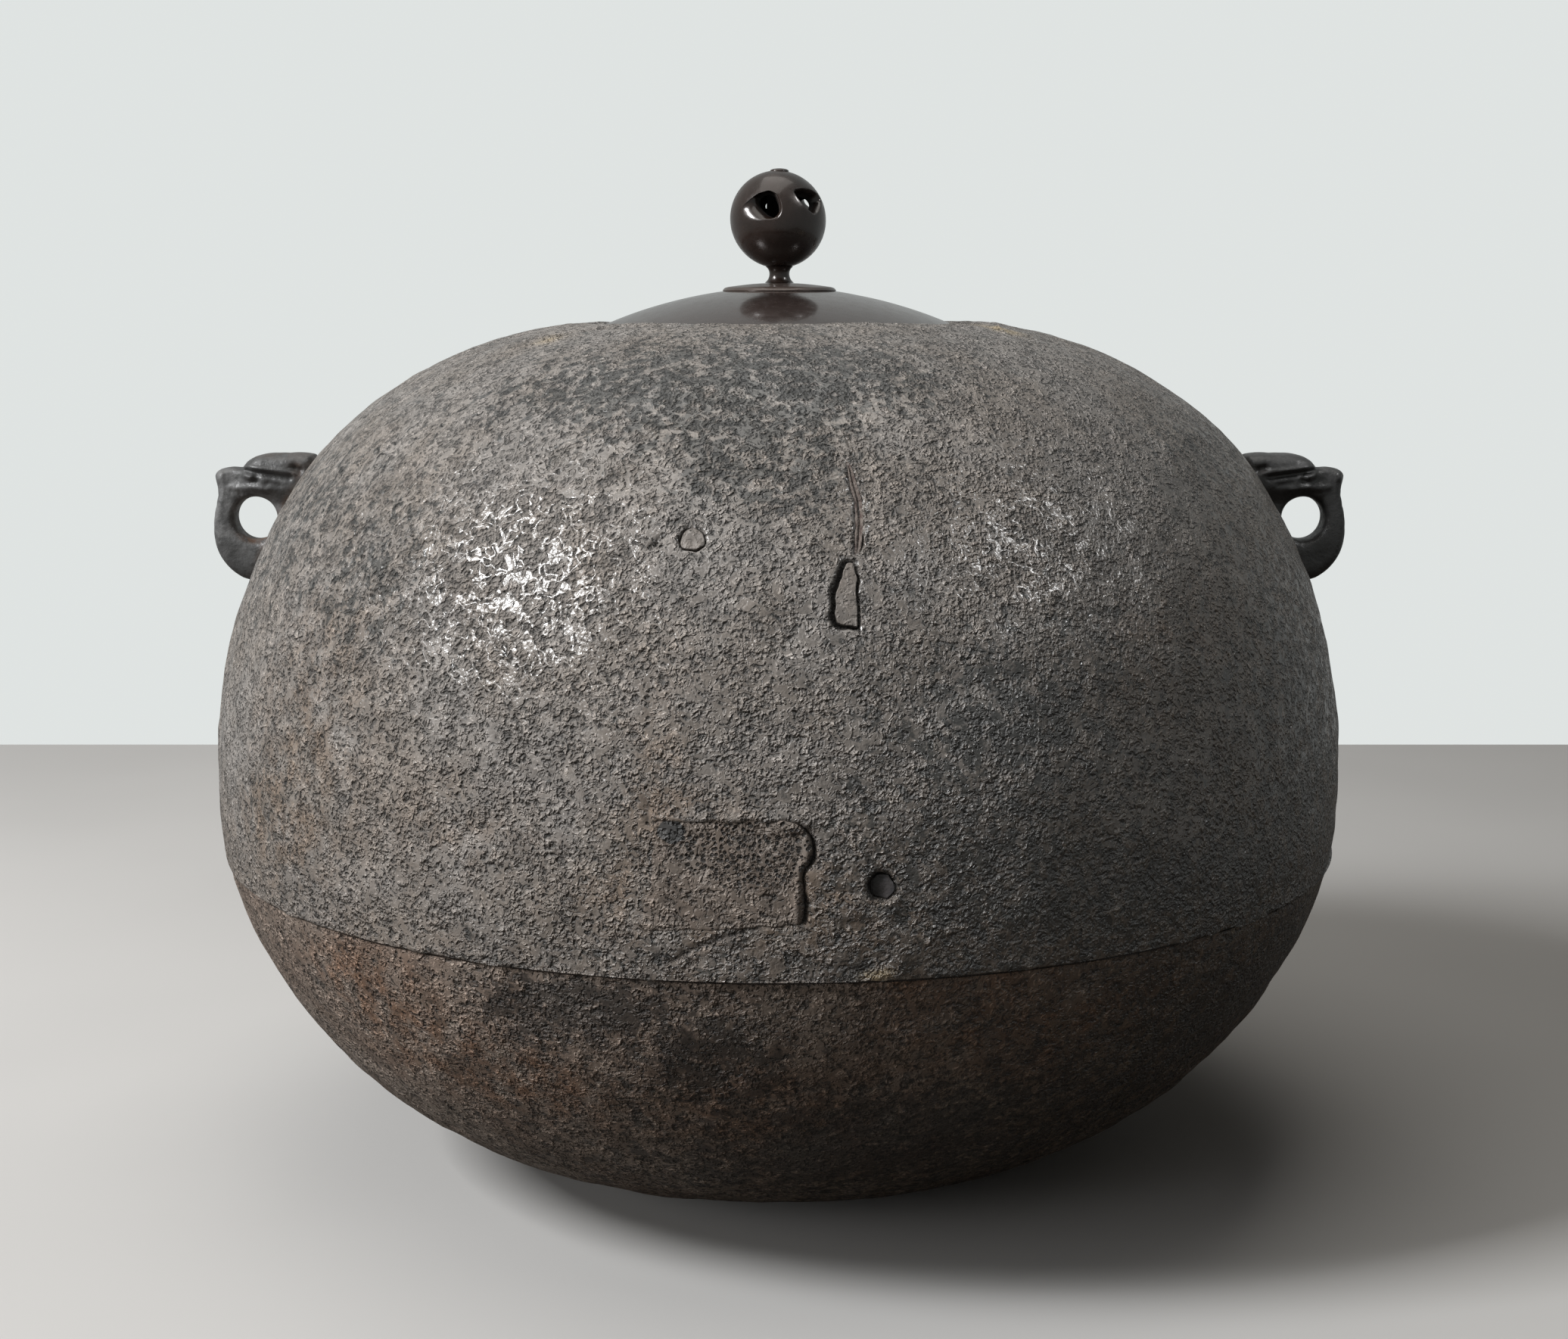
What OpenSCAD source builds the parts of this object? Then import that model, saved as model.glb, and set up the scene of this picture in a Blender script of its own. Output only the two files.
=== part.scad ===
// Chagama: a cast-iron tea-ceremony kettle with a renewed bottom, two ring lugs and a bronze lid.
// The kettle stands on z = 0 about the z axis, its front faces -y and its lugs lie along x.

/* [Body] */
// Radius of the body at its widest level
body_r = 127.5; // [110:0.5:145]
// Height of the widest level above the foot
belly_z = 84.5; // [80:0.5:95]
// Height of the crest that rings the mouth
crest_z = 189; // [175:0.5:210]
// Radius of the crest that rings the mouth
crest_r = 49; // [47:0.5:58]
// How broad the shoulder is, as a power of the radius
shoulder_breadth = 3.13; // [2.4:0.01:4]
// How full the shoulder is, as a power of the height
shoulder_fullness = 2.09; // [1.7:0.01:2.6]
// Thickness of the cast wall
wall = 3.6; // [3:0.1:5]

/* [Mouth] */
// Clear radius of the mouth
mouth_r = 40; // [34:0.5:41]
// Depth of the lid's ledge below the crest
seat_depth = 5.9; // [4.5:0.1:8]
// Thickness of the ledge that carries the lid
ledge_t = 3; // [2:0.1:4]
// How far the inner edge of the crest rolls down
crest_roll = 2.6; // [1.5:0.1:3.5]
// Thickness of the collar behind the ledge
collar_t = 5; // [4:0.1:7]

/* [Bottom pan] */
// Height of the seam where the renewed bottom joins the body
seam_z = 72.8; // [66:0.1:76]
// Radius of the body's lower edge at the seam
seam_r = 126.3; // [108:0.1:127]
// How far the pan stands inside the body's lower edge
pan_step = 0.8; // [0.4:0.1:2]
// Thickness of the pan
pan_wall = 4; // [3:0.1:5]
// Radius of the flat foot
foot_r = 38; // [34:0.5:50]
// How broad the bowl is, as a power of the radius
bowl_breadth = 3.15; // [2.4:0.01:4]
// How full the bowl is, as a power of the height
bowl_fullness = 1.38; // [1.2:0.01:1.8]
// Height of the pan's tongue inside the body
lap_h = 7; // [4:0.5:9]
// Wall of the body where the tongue laps it
lap_wall = 3.7; // [3:0.1:5]
// Thickness of the pan's tongue
tongue_t = 3.2; // [2.5:0.1:4.5]
// Thickness of the cement behind the tongue
cement_t = 0.4; // [0.2:0.05:1]
// Height of the cement bead under the body's edge
bead_h = 0.8; // [0.4:0.1:1.5]

/* [Ring lugs] */
// Height of the ring hole
lug_z = 144.4; // [138:0.1:150]
// Distance of the ring hole's centre from the body's surface, square to it
lug_reach = 4.85; // [4.4:0.05:8]
// Radius of the ring hole
lug_hole_r = 4.8; // [3.5:0.1:5.5]
// Thickness of the lug along the ring hole
lug_t = 9; // [6:0.5:12]
// Outward radius of the jaw about the ring hole
jaw_out = 9.8; // [8:0.1:12]
// How far the jaw hangs below the ring hole's centre
jaw_drop = 13.8; // [10:0.1:16]
// Thickness of the head across the brow
head_t = 13; // [9:0.5:16]
// Height of the crown above the ring hole's centre
crown_h = 14.6; // [13:0.1:17]
// How far the nose stands out from the ring hole's centre
nose_out = 9.4; // [8:0.1:12]
// Height of the nose above the ring hole's centre
nose_h = 9.8; // [8.5:0.1:11.5]
// Depth to which the lug's root is let into the wall
lug_sink = 1.6; // [1:0.1:2]

/* [Lid] */
// Width of the lid's rim that rests on the ledge
lid_rest = 4.5; // [3:0.1:5]
// Radius of the lid's domed surface
dome_r = 98; // [80:1:140]
// Thickness of the lid
lid_t = 2.2; // [1.6:0.1:3]
// Thickness of the lid's edge
lid_edge_t = 2.5; // [2.3:0.1:3.5]
// Gap round the lid's edge
lid_gap = 0.6; // [0.3:0.1:1]
// Height of the locating skirt below the rim
skirt_h = 4.5; // [3:0.5:8]
// Thickness of the locating skirt
skirt_t = 2.2; // [1.5:0.1:3]
// Gap between the skirt and the mouth
skirt_gap = 0.6; // [0.3:0.1:1]

/* [Knob] */
// Radius of the seat disc under the knob
disc_r = 12.8; // [9:0.1:16]
// Height of the seat disc above the lid's crown
disc_h = 1; // [0.6:0.1:2]
// Radius of the seat disc's rounded rim
disc_round = 0.8; // [0.4:0.1:1.2]
// Radius of the pierced ball
ball_r = 10.75; // [9:0.05:14]
// Wall of the pierced ball
ball_wall = 1.2; // [0.9:0.1:2]
// Number of openings in the ball
window_count = 5; // [3:1:5]
// Width of an opening in the ball
window_w = 9; // [6:0.1:9.4]
// Azimuth of the first opening, from the front towards +x
window_az = -24; // [-36:1:36]
// Height of an opening in the ball
window_h = 6.6; // [4:0.1:7]
// How high the openings sit on the ball, in degrees
window_lift = 20; // [16:1:26]
// Height of the neck between disc and ball
neck_h = 3.3; // [2:0.1:6]
// Radius of the neck at its narrowest
neck_r = 2.15; // [2:0.05:2.6]
// Radius of the neck's foot on the disc
neck_foot_r = 3.3; // [2.8:0.05:4.5]
// Radius of the neck's collar under the ball
neck_top_r = 3.1; // [2.8:0.05:4]
// Radius of the tang that passes through the lid
tang_r = 1.5; // [1.2:0.05:1.8]
// Running clearance round the tang
tang_clear = 0.05; // [0.02:0.01:0.1]
// How far the tang's top stands inside the ball
spigot_out = 0.6; // [0.3:0.1:1]
// Radius of the peened tail under the lid
tail_r = 2.7; // [2.2:0.1:3.5]
// Height of the peened tail
tail_h = 1.4; // [1:0.1:2]
// End play of the knob between disc and tail
end_play = 0.1; // [0.05:0.01:0.3]
// Radius of the washer under the lid
washer_r = 5.5; // [4:0.1:8]
// Thickness of the washer under the lid
washer_t = 1; // [0.8:0.1:1.6]
// Radius of the nub that closes the ball's top
nub_r = 2.1; // [1.6:0.1:3]
// How far the nub stands inside the ball
nub_in = 0.3; // [0.1:0.1:1]
// Height of the nub above the ball
nub_h = 0.5; // [0.3:0.1:1.5]

/* [Repairs in the wall] */
// Clearance round each inlaid repair
inlay_gap = 0.06; // [0.03:0.01:0.15]
// Depth of the inlaid repairs
inlay_depth = 1.8; // [1.2:0.1:2.4]
// Azimuth of the panel's middle, from the front towards +x
panel_az = -3.8; // [-20:0.1:20]
// Height of the panel's middle
panel_z = 92.5; // [88:0.1:110]
// Width of the panel
panel_w = 28.5; // [15:0.5:40]
// Height of the panel
panel_h = 18.5; // [10:0.5:26]
// Azimuth of the crack
crack_az = 8.2; // [4:0.1:14]
// Height of the crack's middle
crack_z = 157.5; // [154:0.1:162]
// Length of the crack
crack_len = 13; // [6:0.5:14]
// Width of the crack's filling
crack_w = 2; // [1:0.1:3]
// Azimuth of the wedge
wedge_az = 6; // [2:0.1:14]
// Height of the wedge's middle
wedge_z = 141.5; // [138:0.1:144]
// Height of the wedge
wedge_h = 12.5; // [8:0.5:14]
// Width of the wedge at its foot
wedge_w = 5; // [3:0.1:8]

/* [Casting pins] */
// Radius of the round pin in the shoulder
plug_r = 2.5; // [1.5:0.1:4]
// Azimuth of the round pin
plug_az = -8.1; // [-20:0.1:-4]
// Height of the round pin
plug_z = 151; // [140:0.1:160]
// Radius of the sunk pin in the belly
pin_r = 2.7; // [1.8:0.1:3.5]
// Azimuth of the sunk pin
pin_az = 8.4; // [6:0.1:20]
// Height of the sunk pin
pin_z = 90.4; // [88:0.1:110]
// How deep the sunk pin lies below the surface
pin_sink = 0.9; // [0.4:0.1:1.6]

/* [Singing plates] */
// Length of a plate
plate_l = 17; // [10:0.5:20]
// Width of a plate
plate_w = 11; // [6:0.5:14]
// Thickness of a plate
plate_t = 1.2; // [0.8:0.1:2]
// Thickness of the lacquer that holds a plate
pad_t = 0.6; // [0.4:0.1:1]
// Margin of the lacquer round a plate
pad_margin = 1; // [0.5:0.1:2]
// Distance of a plate's middle from the kettle's axis
plate_ring_r = 17; // [15:0.5:18]

/* [Hidden] */

$fn = 96;
shoulder_steps = 18;
belly_steps = 3;
bowl_steps = 16;
roll_steps = 4;
outline_steps = 24;
// Length by which a cut runs past the faces that it opens
overcut = 1;
// Radius at which a skin is closed at the top of the axis
pole_r = 0.01;

// Superellipse: the share left of one axis at a share u of the other
function superellipse(u, power, other) = pow(max(0, 1 - pow(u, power)), 1 / other);

// Height of the shoulder's virtual top above the widest level
dome_h = (crest_z - belly_z) / superellipse(crest_r / body_r, shoulder_breadth, shoulder_fullness);
belly_curve = (body_r - seam_r) / pow(belly_z - seam_z, 2);

// Radius of the body's surface at height z
function surface_r(z) = z >= belly_z
    ? body_r * superellipse((z - belly_z) / dome_h, shoulder_fullness, shoulder_breadth)
    : body_r - belly_curve * pow(belly_z - z, 2);

// Tilt of the surface's outward normal above the horizontal
function surface_tilt(z) = atan(surface_r(z - 0.5) - surface_r(z + 0.5));

// Shoulder points from the widest level up to radius end_r, on a skin moved outward by grow
function shoulder_points(grow, end_r) =
    let (last = acos(pow(end_r / (body_r + grow), shoulder_breadth / 2)))
    [for (i = [0:shoulder_steps])
        let (a = last * i / shoulder_steps)
        [(body_r + grow) * pow(cos(a), 2 / shoulder_breadth),
         belly_z + (dome_h + grow) * pow(sin(a), 2 / shoulder_fullness)]];

// Belly points from height low_z up to just below the widest level, on a skin moved outward by grow
function belly_points(grow, low_z) =
    [for (i = [0:belly_steps - 1])
        let (z = low_z + (belly_z - low_z) * i / belly_steps)
        [surface_r(z) + grow, z]];

function reversed(list) = [for (i = [len(list) - 1:-1:0]) list[i]];

seat_z = crest_z - seat_depth;
lid_r = mouth_r + lid_rest;
recess_r = lid_r + lid_gap;
collar_r = recess_r + collar_t;
lap_top = seam_z + lap_h;
// The lap's wall is measured where the body is narrowest along it
lap_r = min(seam_r, surface_r(lap_top)) - lap_wall;

pan_r = seam_r - pan_step;
pan_top = seam_z - bead_h;
tongue_r = lap_r - cement_t;
floor_r = foot_r - pan_wall / 2;

// Bowl points from the rim at height top_z down to the flat of radius end_r at height end_z
function bowl_points(rim_r, top_z, end_r, end_z) =
    let (depth = (top_z - end_z) / superellipse(end_r / rim_r, bowl_breadth, bowl_fullness),
         last = acos(pow(end_r / rim_r, bowl_breadth / 2)))
    [for (i = [0:bowl_steps])
        let (a = last * i / bowl_steps)
        [rim_r * pow(cos(a), 2 / bowl_breadth), top_z - depth * pow(sin(a), 2 / bowl_fullness)]];

lug_x = surface_r(lug_z) + lug_reach / cos(surface_tilt(lug_z));
root_top = lug_z + crown_h * 0.8;
root_low = lug_z - jaw_drop * 0.7;

dome_centre_z = seat_z + lid_edge_t - sqrt(dome_r * dome_r - lid_r * lid_r);
crown_z = dome_centre_z + dome_r;
skirt_r = mouth_r - skirt_gap;
disc_top = crown_z + disc_h;
ball_z = disc_top + neck_h + ball_r;
washer_low = sqrt(pow(dome_r - lid_t, 2) - washer_r * washer_r) + dome_centre_z - washer_t;
hole_r = tang_r + tang_clear;
spigot_top = ball_z - ball_r + ball_wall + spigot_out;

// Solid inside the body's surface, moved outward by grow
module skin(grow) {
    outline = concat([[0, seam_z]], belly_points(grow, seam_z), shoulder_points(grow, pole_r));
    rotate_extrude()
        polygon(concat(outline, [[0, belly_z + dome_h + grow]]));
}

// Prism that points outward at azimuth az and height z, from an outline of [across, up] points
module wall_prism(az, z, points) {
    rotate([0, 0, az])
        translate([0, -body_r / 2, z])
            rotate([90, 0, 0])
                linear_extrude(body_r)
                    polygon(points);
}

// Pocket for an inlay, down to the inlay's depth
module inlay_pocket(az, z, points) {
    difference() {
        wall_prism(az, z, points);
        skin(-inlay_depth);
    }
}

// Inlay that fills a pocket flush with the surface
module inlay(az, z, points) {
    difference() {
        intersection() {
            wall_prism(az, z, points);
            skin(0);
        }
        skin(-inlay_depth);
    }
}

// Round pin along the surface's normal, standing through the wall
module wall_pin(az, z, r) {
    rotate([0, 0, az])
        translate([0, -surface_r(z), z])
            rotate([90 - surface_tilt(z), 0, 0])
                cylinder(h = 4 * wall, r = r, center = true);
}

function panel_points(gap) =
    let (w = panel_w / 2 + gap, h = panel_h / 2 + gap)
    [[-w, -h], [w, -h], [w, h], [-w, h]];

function crack_points(gap) =
    let (w = crack_w / 2 + gap, h = crack_len / 2 + gap)
    [[-w, -h], [w, -h], [w, h], [-w, h]];

function wedge_points(gap) =
    let (w = wedge_w / 2 + gap, h = wedge_h / 2 + gap, tip = wedge_w / 8 + gap)
    [[-w, -h * 0.86], [w, -h], [w, h * 0.9], [w - 2 * tip, h]];

module kettle_body() {
    roll = [for (i = [1:roll_steps])
        let (a = 90 * i / roll_steps)
        [recess_r + (crest_r - recess_r) * (1 - cos(90 - a)), crest_z - crest_roll * (1 - cos(a))]];
    ledge_low = seat_z - ledge_t;
    mouth = [[recess_r, seat_z], [mouth_r, seat_z], [mouth_r, ledge_low], [collar_r, ledge_low]];
    lap = [[lap_r, lap_top], [lap_r, seam_z]];
    inner_end = collar_r + wall;
    inside = concat(belly_points(-wall, lap_top), shoulder_points(-wall, inner_end));
    outside = concat(belly_points(0, seam_z), shoulder_points(0, crest_r));
    color("#5b524a")
        difference() {
            rotate_extrude()
                polygon(concat(outside, roll, mouth, reversed(inside), lap));
            lug_socket();
            mirror([1, 0, 0])
                lug_socket();
            inlay_pocket(panel_az, panel_z, panel_points(inlay_gap));
            inlay_pocket(crack_az, crack_z, crack_points(inlay_gap));
            inlay_pocket(wedge_az, wedge_z, wedge_points(inlay_gap));
            wall_pin(plug_az, plug_z, plug_r + inlay_gap);
            wall_pin(pin_az, pin_z, pin_r + inlay_gap);
        }
}

module bottom_pan() {
    outside = bowl_points(pan_r, pan_top, foot_r, 0);
    inside = bowl_points(tongue_r - tongue_t, pan_top, floor_r, pan_wall);
    tongue = [[tongue_r - tongue_t, lap_top], [tongue_r, lap_top], [tongue_r, pan_top]];
    color("#4a3d33")
        rotate_extrude()
            polygon(concat([[0, 0]], reversed(outside), reversed(tongue), inside, [[0, pan_wall]]));
}

module seam_cement() {
    color("#3a302a")
        rotate_extrude()
            polygon([[tongue_r, pan_top], [pan_r, pan_top], [pan_r, seam_z], [lap_r, seam_z],
                     [lap_r, lap_top], [tongue_r, lap_top]]);
}

// Extrusion of a side outline, centred on the plane of the lugs
module side_slab(thickness) {
    rotate([90, 0, 0])
        translate([0, 0, -thickness / 2])
            linear_extrude(thickness)
                children();
}

// Tenon of the lug's root, grown by gap
module lug_root(gap) {
    depth = jaw_out + lug_reach;
    translate([lug_x - depth - gap, -lug_t / 2 - gap, root_low - gap])
        cube([depth - lug_hole_r / 2 + gap, lug_t + 2 * gap, root_top - root_low + 2 * gap]);
}

module lug_socket() {
    difference() {
        lug_root(inlay_gap);
        skin(-lug_sink - inlay_gap);
    }
}

// Lug in side view: a jaw that loops round the ring hole, below a head with brow, snout and nose
module lug() {
    jaw_mid = (lug_hole_r - jaw_drop) / 2 + jaw_out / 4;
    jaw = [for (i = [0:outline_steps - 1])
        let (a = 360 * i / outline_steps)
        [jaw_out * cos(a), jaw_mid + (jaw_drop + jaw_mid) * sin(a)]];
    chin_h = lug_hole_r * 1.12;
    nose = [[nose_out * 0.92, chin_h], [nose_out * 0.9, nose_h * 0.78], [nose_out, nose_h],
            [nose_out * 0.88, nose_h * 1.14], [nose_out * 0.6, nose_h * 1.18],
            [nose_out * 0.36, nose_h * 1.16]];
    brow = [[nose_out * 0.18, crown_h * 0.9], [-nose_out * 0.28, crown_h], [-crown_h, crown_h]];
    head = concat([[-crown_h, chin_h]], nose, brow);
    difference() {
        union() {
            difference() {
                translate([lug_x, 0, lug_z]) {
                    side_slab(lug_t)
                        polygon(jaw);
                    side_slab(head_t)
                        polygon(head);
                }
                skin(inlay_gap);
            }
            lug_root(0);
        }
        skin(-lug_sink);
        translate([lug_x, 0, lug_z])
            rotate([90, 0, 0])
                cylinder(h = head_t + 2 * overcut, r = lug_hole_r, center = true);
    }
}

module right_lug() {
    color("#34312f")
        lug();
}

module left_lug() {
    color("#3c3936")
        mirror([1, 0, 0])
            lug();
}

module panel_patch() {
    color("#544a40")
        inlay(panel_az, panel_z, panel_points(0));
}

module crack_filler() {
    color("#6e4638")
        inlay(crack_az, crack_z, crack_points(0));
}

module wedge_patch() {
    color("#4a4540")
        inlay(wedge_az, wedge_z, wedge_points(0));
}

// Pin that fills its hole from the inner face to a skin sunk below the surface
module casting(az, z, r, sink) {
    difference() {
        intersection() {
            wall_pin(az, z, r);
            skin(-sink);
        }
        skin(-wall);
    }
}

module casting_plug() {
    color("#56504a")
        casting(plug_az, plug_z, plug_r, 0);
}

module casting_pin() {
    color("#3d3731")
        casting(pin_az, pin_z, pin_r, pin_sink);
}

// Slab lying on the pan's floor at place i of three, turned to face the axis
module floor_slab(i, low, length, width, thickness) {
    rotate([0, 0, 90 + 120 * i])
        translate([plate_ring_r - width / 2, -length / 2, low])
            cube([width, length, thickness]);
}

module singing_plate(i) {
    color("#4b4038")
        floor_slab(i, pan_wall + pad_t, plate_l, plate_w, plate_t);
}

module lacquer_pad(i) {
    color("#2b1a14")
        floor_slab(i, pan_wall, plate_l + 2 * pad_margin, plate_w + 2 * pad_margin, pad_t);
}

// Ball of the dome's own centre, for cutting pieces that lie on or under the dome
module dome_ball(r) {
    translate([0, 0, dome_centre_z])
        sphere(r = r, $fn = 360);
}

module lid_dome() {
    rim = [[0, seat_z], [lid_r, seat_z], [lid_r, crown_z + overcut], [0, crown_z + overcut]];
    skirt = [[skirt_r - skirt_t, seat_z - skirt_h], [skirt_r, seat_z - skirt_h], [skirt_r, seat_z + 0.5],
             [skirt_r - skirt_t, seat_z + 0.5]];
    color("#6b3f2c")
        difference() {
            union() {
                intersection() {
                    rotate_extrude()
                        polygon(rim);
                    dome_ball(dome_r);
                }
                rotate_extrude()
                    polygon(skirt);
            }
            intersection() {
                dome_ball(dome_r - lid_t);
                translate([0, 0, seat_z - skirt_h - overcut])
                    cylinder(h = dome_r, r = skirt_r - skirt_t);
            }
            translate([0, 0, seat_z])
                cylinder(h = dome_r, r = hole_r);
        }
}

module knob_seat() {
    low = dome_centre_z + sqrt(dome_r * dome_r - disc_r * disc_r) - overcut;
    rim_z = low + overcut + disc_round;
    rim = [for (i = [0:roll_steps])
        let (a = 90 * i / roll_steps)
        [disc_r - disc_round * (1 - cos(a)), rim_z + disc_round * sin(a)]];
    flat = [[neck_foot_r, disc_top], [hole_r, disc_top], [hole_r, low], [disc_r, low]];
    color("#5d3525")
        difference() {
            rotate_extrude()
                polygon(concat(rim, flat));
            dome_ball(dome_r);
        }
}

module lid_washer() {
    color("#5a4230")
        difference() {
            intersection() {
                translate([0, 0, washer_low])
                    cylinder(h = crown_z - washer_low, r = washer_r);
                dome_ball(dome_r - lid_t);
            }
            translate([0, 0, washer_low - overcut])
                cylinder(h = dome_r, r = hole_r);
        }
}

module knob_stem() {
    tail_top = washer_low - end_play;
    collar_z = ball_z - sqrt(ball_r * ball_r - neck_top_r * neck_top_r);
    waist_z = disc_top + neck_h / 2;
    tail = [[0, tail_top - tail_h], [tail_r * 0.7, tail_top - tail_h], [tail_r, tail_top - tail_h / 2],
            [tail_r, tail_top], [tang_r, tail_top]];
    neck = [[tang_r, disc_top], [neck_foot_r, disc_top], [neck_r * 1.12, disc_top + neck_h / 5],
            [neck_r, waist_z], [neck_r * 1.12, disc_top + neck_h * 0.8], [neck_top_r, collar_z], [0, collar_z]];
    color("#4f3226") {
        difference() {
            rotate_extrude()
                polygon(concat(tail, neck));
            translate([0, 0, ball_z])
                sphere(r = ball_r);
        }
        translate([0, 0, waist_z])
            cylinder(h = spigot_top - waist_z, r = tang_r);
    }
}

// Opening of the ball: a rounded triangle, narrow at the top
function window_points() =
    [for (i = [0:outline_steps - 1])
        let (a = 360 * i / outline_steps)
        [window_w / 2 * cos(a) * (1 - 0.3 * sin(a)), window_h / 2 * sin(a)]];

module knob_ball() {
    color("#4a2f24")
        translate([0, 0, ball_z])
            difference() {
                sphere(r = ball_r);
                sphere(r = ball_r - ball_wall);
                translate([0, 0, -ball_r - overcut])
                    cylinder(h = ball_r, r = tang_r + inlay_gap);
                cylinder(h = ball_r + overcut, r = nub_r + inlay_gap);
                for (i = [0:window_count - 1])
                    rotate([0, 0, 360 * i / window_count + window_az])
                        rotate([90 - window_lift, 0, 0])
                            translate([0, 0, ball_r / 2])
                                linear_extrude(ball_r)
                                    polygon(window_points());
            }
}

module knob_nub() {
    low = ball_z + ball_r - ball_wall - nub_in;
    top = ball_z + ball_r + nub_h;
    color("#55382b")
        rotate_extrude()
            polygon([[0, low], [nub_r, low], [nub_r, top - nub_h / 2], [nub_r * 0.8, top], [0, top]]);
}

kettle_body();
bottom_pan();
seam_cement();
left_lug();
right_lug();
panel_patch();
wedge_patch();
crack_filler();
casting_plug();
casting_pin();
singing_plate(0);  // singing_plate_1
singing_plate(1);  // singing_plate_2
singing_plate(2);  // singing_plate_3
lacquer_pad(0);  // lacquer_pad_1
lacquer_pad(1);  // lacquer_pad_2
lacquer_pad(2);  // lacquer_pad_3
lid_dome();
knob_seat();
lid_washer();
knob_stem();
knob_ball();
knob_nub();
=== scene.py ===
"""Looks of a chagama, the iron kettle of the tea ceremony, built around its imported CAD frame.

Sizes are in millimetres unless a name says otherwise, and a mesh is written in metres. Azimuths run from the
kettle's front (-Y) towards +X, in degrees. Every surface is a formula of two parameters worked out on a whole grid.
"""
import logging
import math
from collections.abc import Callable, Iterable
from dataclasses import dataclass, field
from enum import Enum
from functools import lru_cache

import bmesh
import bpy
import numpy as np
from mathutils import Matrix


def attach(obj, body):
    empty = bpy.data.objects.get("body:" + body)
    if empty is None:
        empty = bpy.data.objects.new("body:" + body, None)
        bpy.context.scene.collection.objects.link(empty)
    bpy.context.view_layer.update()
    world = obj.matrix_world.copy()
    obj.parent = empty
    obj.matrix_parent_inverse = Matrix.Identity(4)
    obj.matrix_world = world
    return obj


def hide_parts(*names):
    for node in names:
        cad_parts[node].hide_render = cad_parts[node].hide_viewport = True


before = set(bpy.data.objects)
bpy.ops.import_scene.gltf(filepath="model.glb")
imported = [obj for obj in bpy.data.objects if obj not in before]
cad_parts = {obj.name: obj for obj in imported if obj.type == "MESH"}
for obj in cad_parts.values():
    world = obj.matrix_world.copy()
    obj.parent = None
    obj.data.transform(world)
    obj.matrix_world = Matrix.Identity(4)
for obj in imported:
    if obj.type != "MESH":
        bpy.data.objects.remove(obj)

LOG = logging.getLogger("chagama")
MM = 0.001
IMAGE_SIZE = (2072, 1769)
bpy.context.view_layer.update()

Array = np.ndarray
Colour = tuple[float, float, float]
Socket = bpy.types.NodeSocket
Field = Callable[[Array], Array]

FAR = 1e9
TINY = 1e-12
SPACING_STEPS = 8001
CORNER_POINTS = 6
SHORT_EDGE = 2.05
WELD_M = 2e-7
SLIVER_M = 1e-7
CURVE_POINTS = 3000
BELLY_POINTS = 400
NO_MARK = np.zeros((1, 1))


def smooth(low: float, high: float, x: Array) -> Array:
    """Smooth step: 0 up to low, 1 from high on, and 3t^2 - 2t^3 between them."""
    t = np.clip((x - low) / (high - low), 0.0, 1.0)
    return t * t * (3.0 - 2.0 * t)


def bell(x: Array, width: float) -> Array:
    """Bell curve exp(-(x / width)^2), 1 at x = 0."""
    return np.exp(-((x / width) ** 2))


def signed_power(x: Array, power: float) -> Array:
    """Power of the size of x that keeps its sign, as a superellipse needs."""
    return np.sign(x) * np.abs(x) ** power


def spaced(low: float, high: float, count: int, bands: Iterable[tuple[float, float, float]]) -> Array:
    """Values from low to high that lie closer together inside some bands.

    The density is 1 outside and `times` inside each band, and equal shares of its running sum give the values.

    Args:
        low: First value.
        high: Last value.
        count: How many values.
        bands: Rows of (from, to, times).

    Returns:
        The increasing values.
    """
    x = np.linspace(low, high, SPACING_STEPS)
    edge = (high - low) * 0.01
    density = np.ones_like(x)
    for start, end, times in bands:
        density += (times - 1.0) * smooth(start - edge, start, x) * (1.0 - smooth(end, end + edge, x))
    total = np.concatenate([[0.0], np.cumsum(0.5 * (density[1:] + density[:-1]))])
    return np.interp(np.linspace(0.0, total[-1], count), total, x)


def path_distance(u: Array, v: Array, path: Array) -> Array:
    """Distance of flat points to an open path: the least of those to its straight pieces.

    Args:
        u: Points across.
        v: Points up.
        path: Points of the path, (n, 2).

    Returns:
        Distance of each point.
    """
    nearest = np.full(u.shape, FAR)
    for (au, av), (bu, bv) in zip(path[:-1], path[1:]):
        du, dv = bu - au, bv - av
        t = np.clip(((u - au) * du + (v - av) * dv) / (du * du + dv * dv), 0.0, 1.0)
        nearest = np.minimum(nearest, np.hypot(u - au - t * du, v - av - t * dv))
    return nearest


def edge_distance(u: Array, v: Array, corners: Array) -> Array:
    """Signed distance of flat points to a polygon's outline, below 0 inside.

    Crossings of a ray to the right tell inside from outside.

    Args:
        u: Points across.
        v: Points up.
        corners: Polygon corners, (n, 2).

    Returns:
        Distance of each point.
    """
    inside = np.zeros(u.shape, bool)
    for (au, av), (bu, bv) in zip(corners, np.roll(corners, -1, axis=0)):
        du, dv = bu - au, bv - av
        crosses = (av > v) != (bv > v)
        inside ^= crosses & (u < au + (v - av) * du / (dv if abs(dv) > TINY else TINY))
    nearest = path_distance(u, v, np.vstack([corners, corners[:1]]))
    return np.where(inside, -nearest, nearest)


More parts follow.
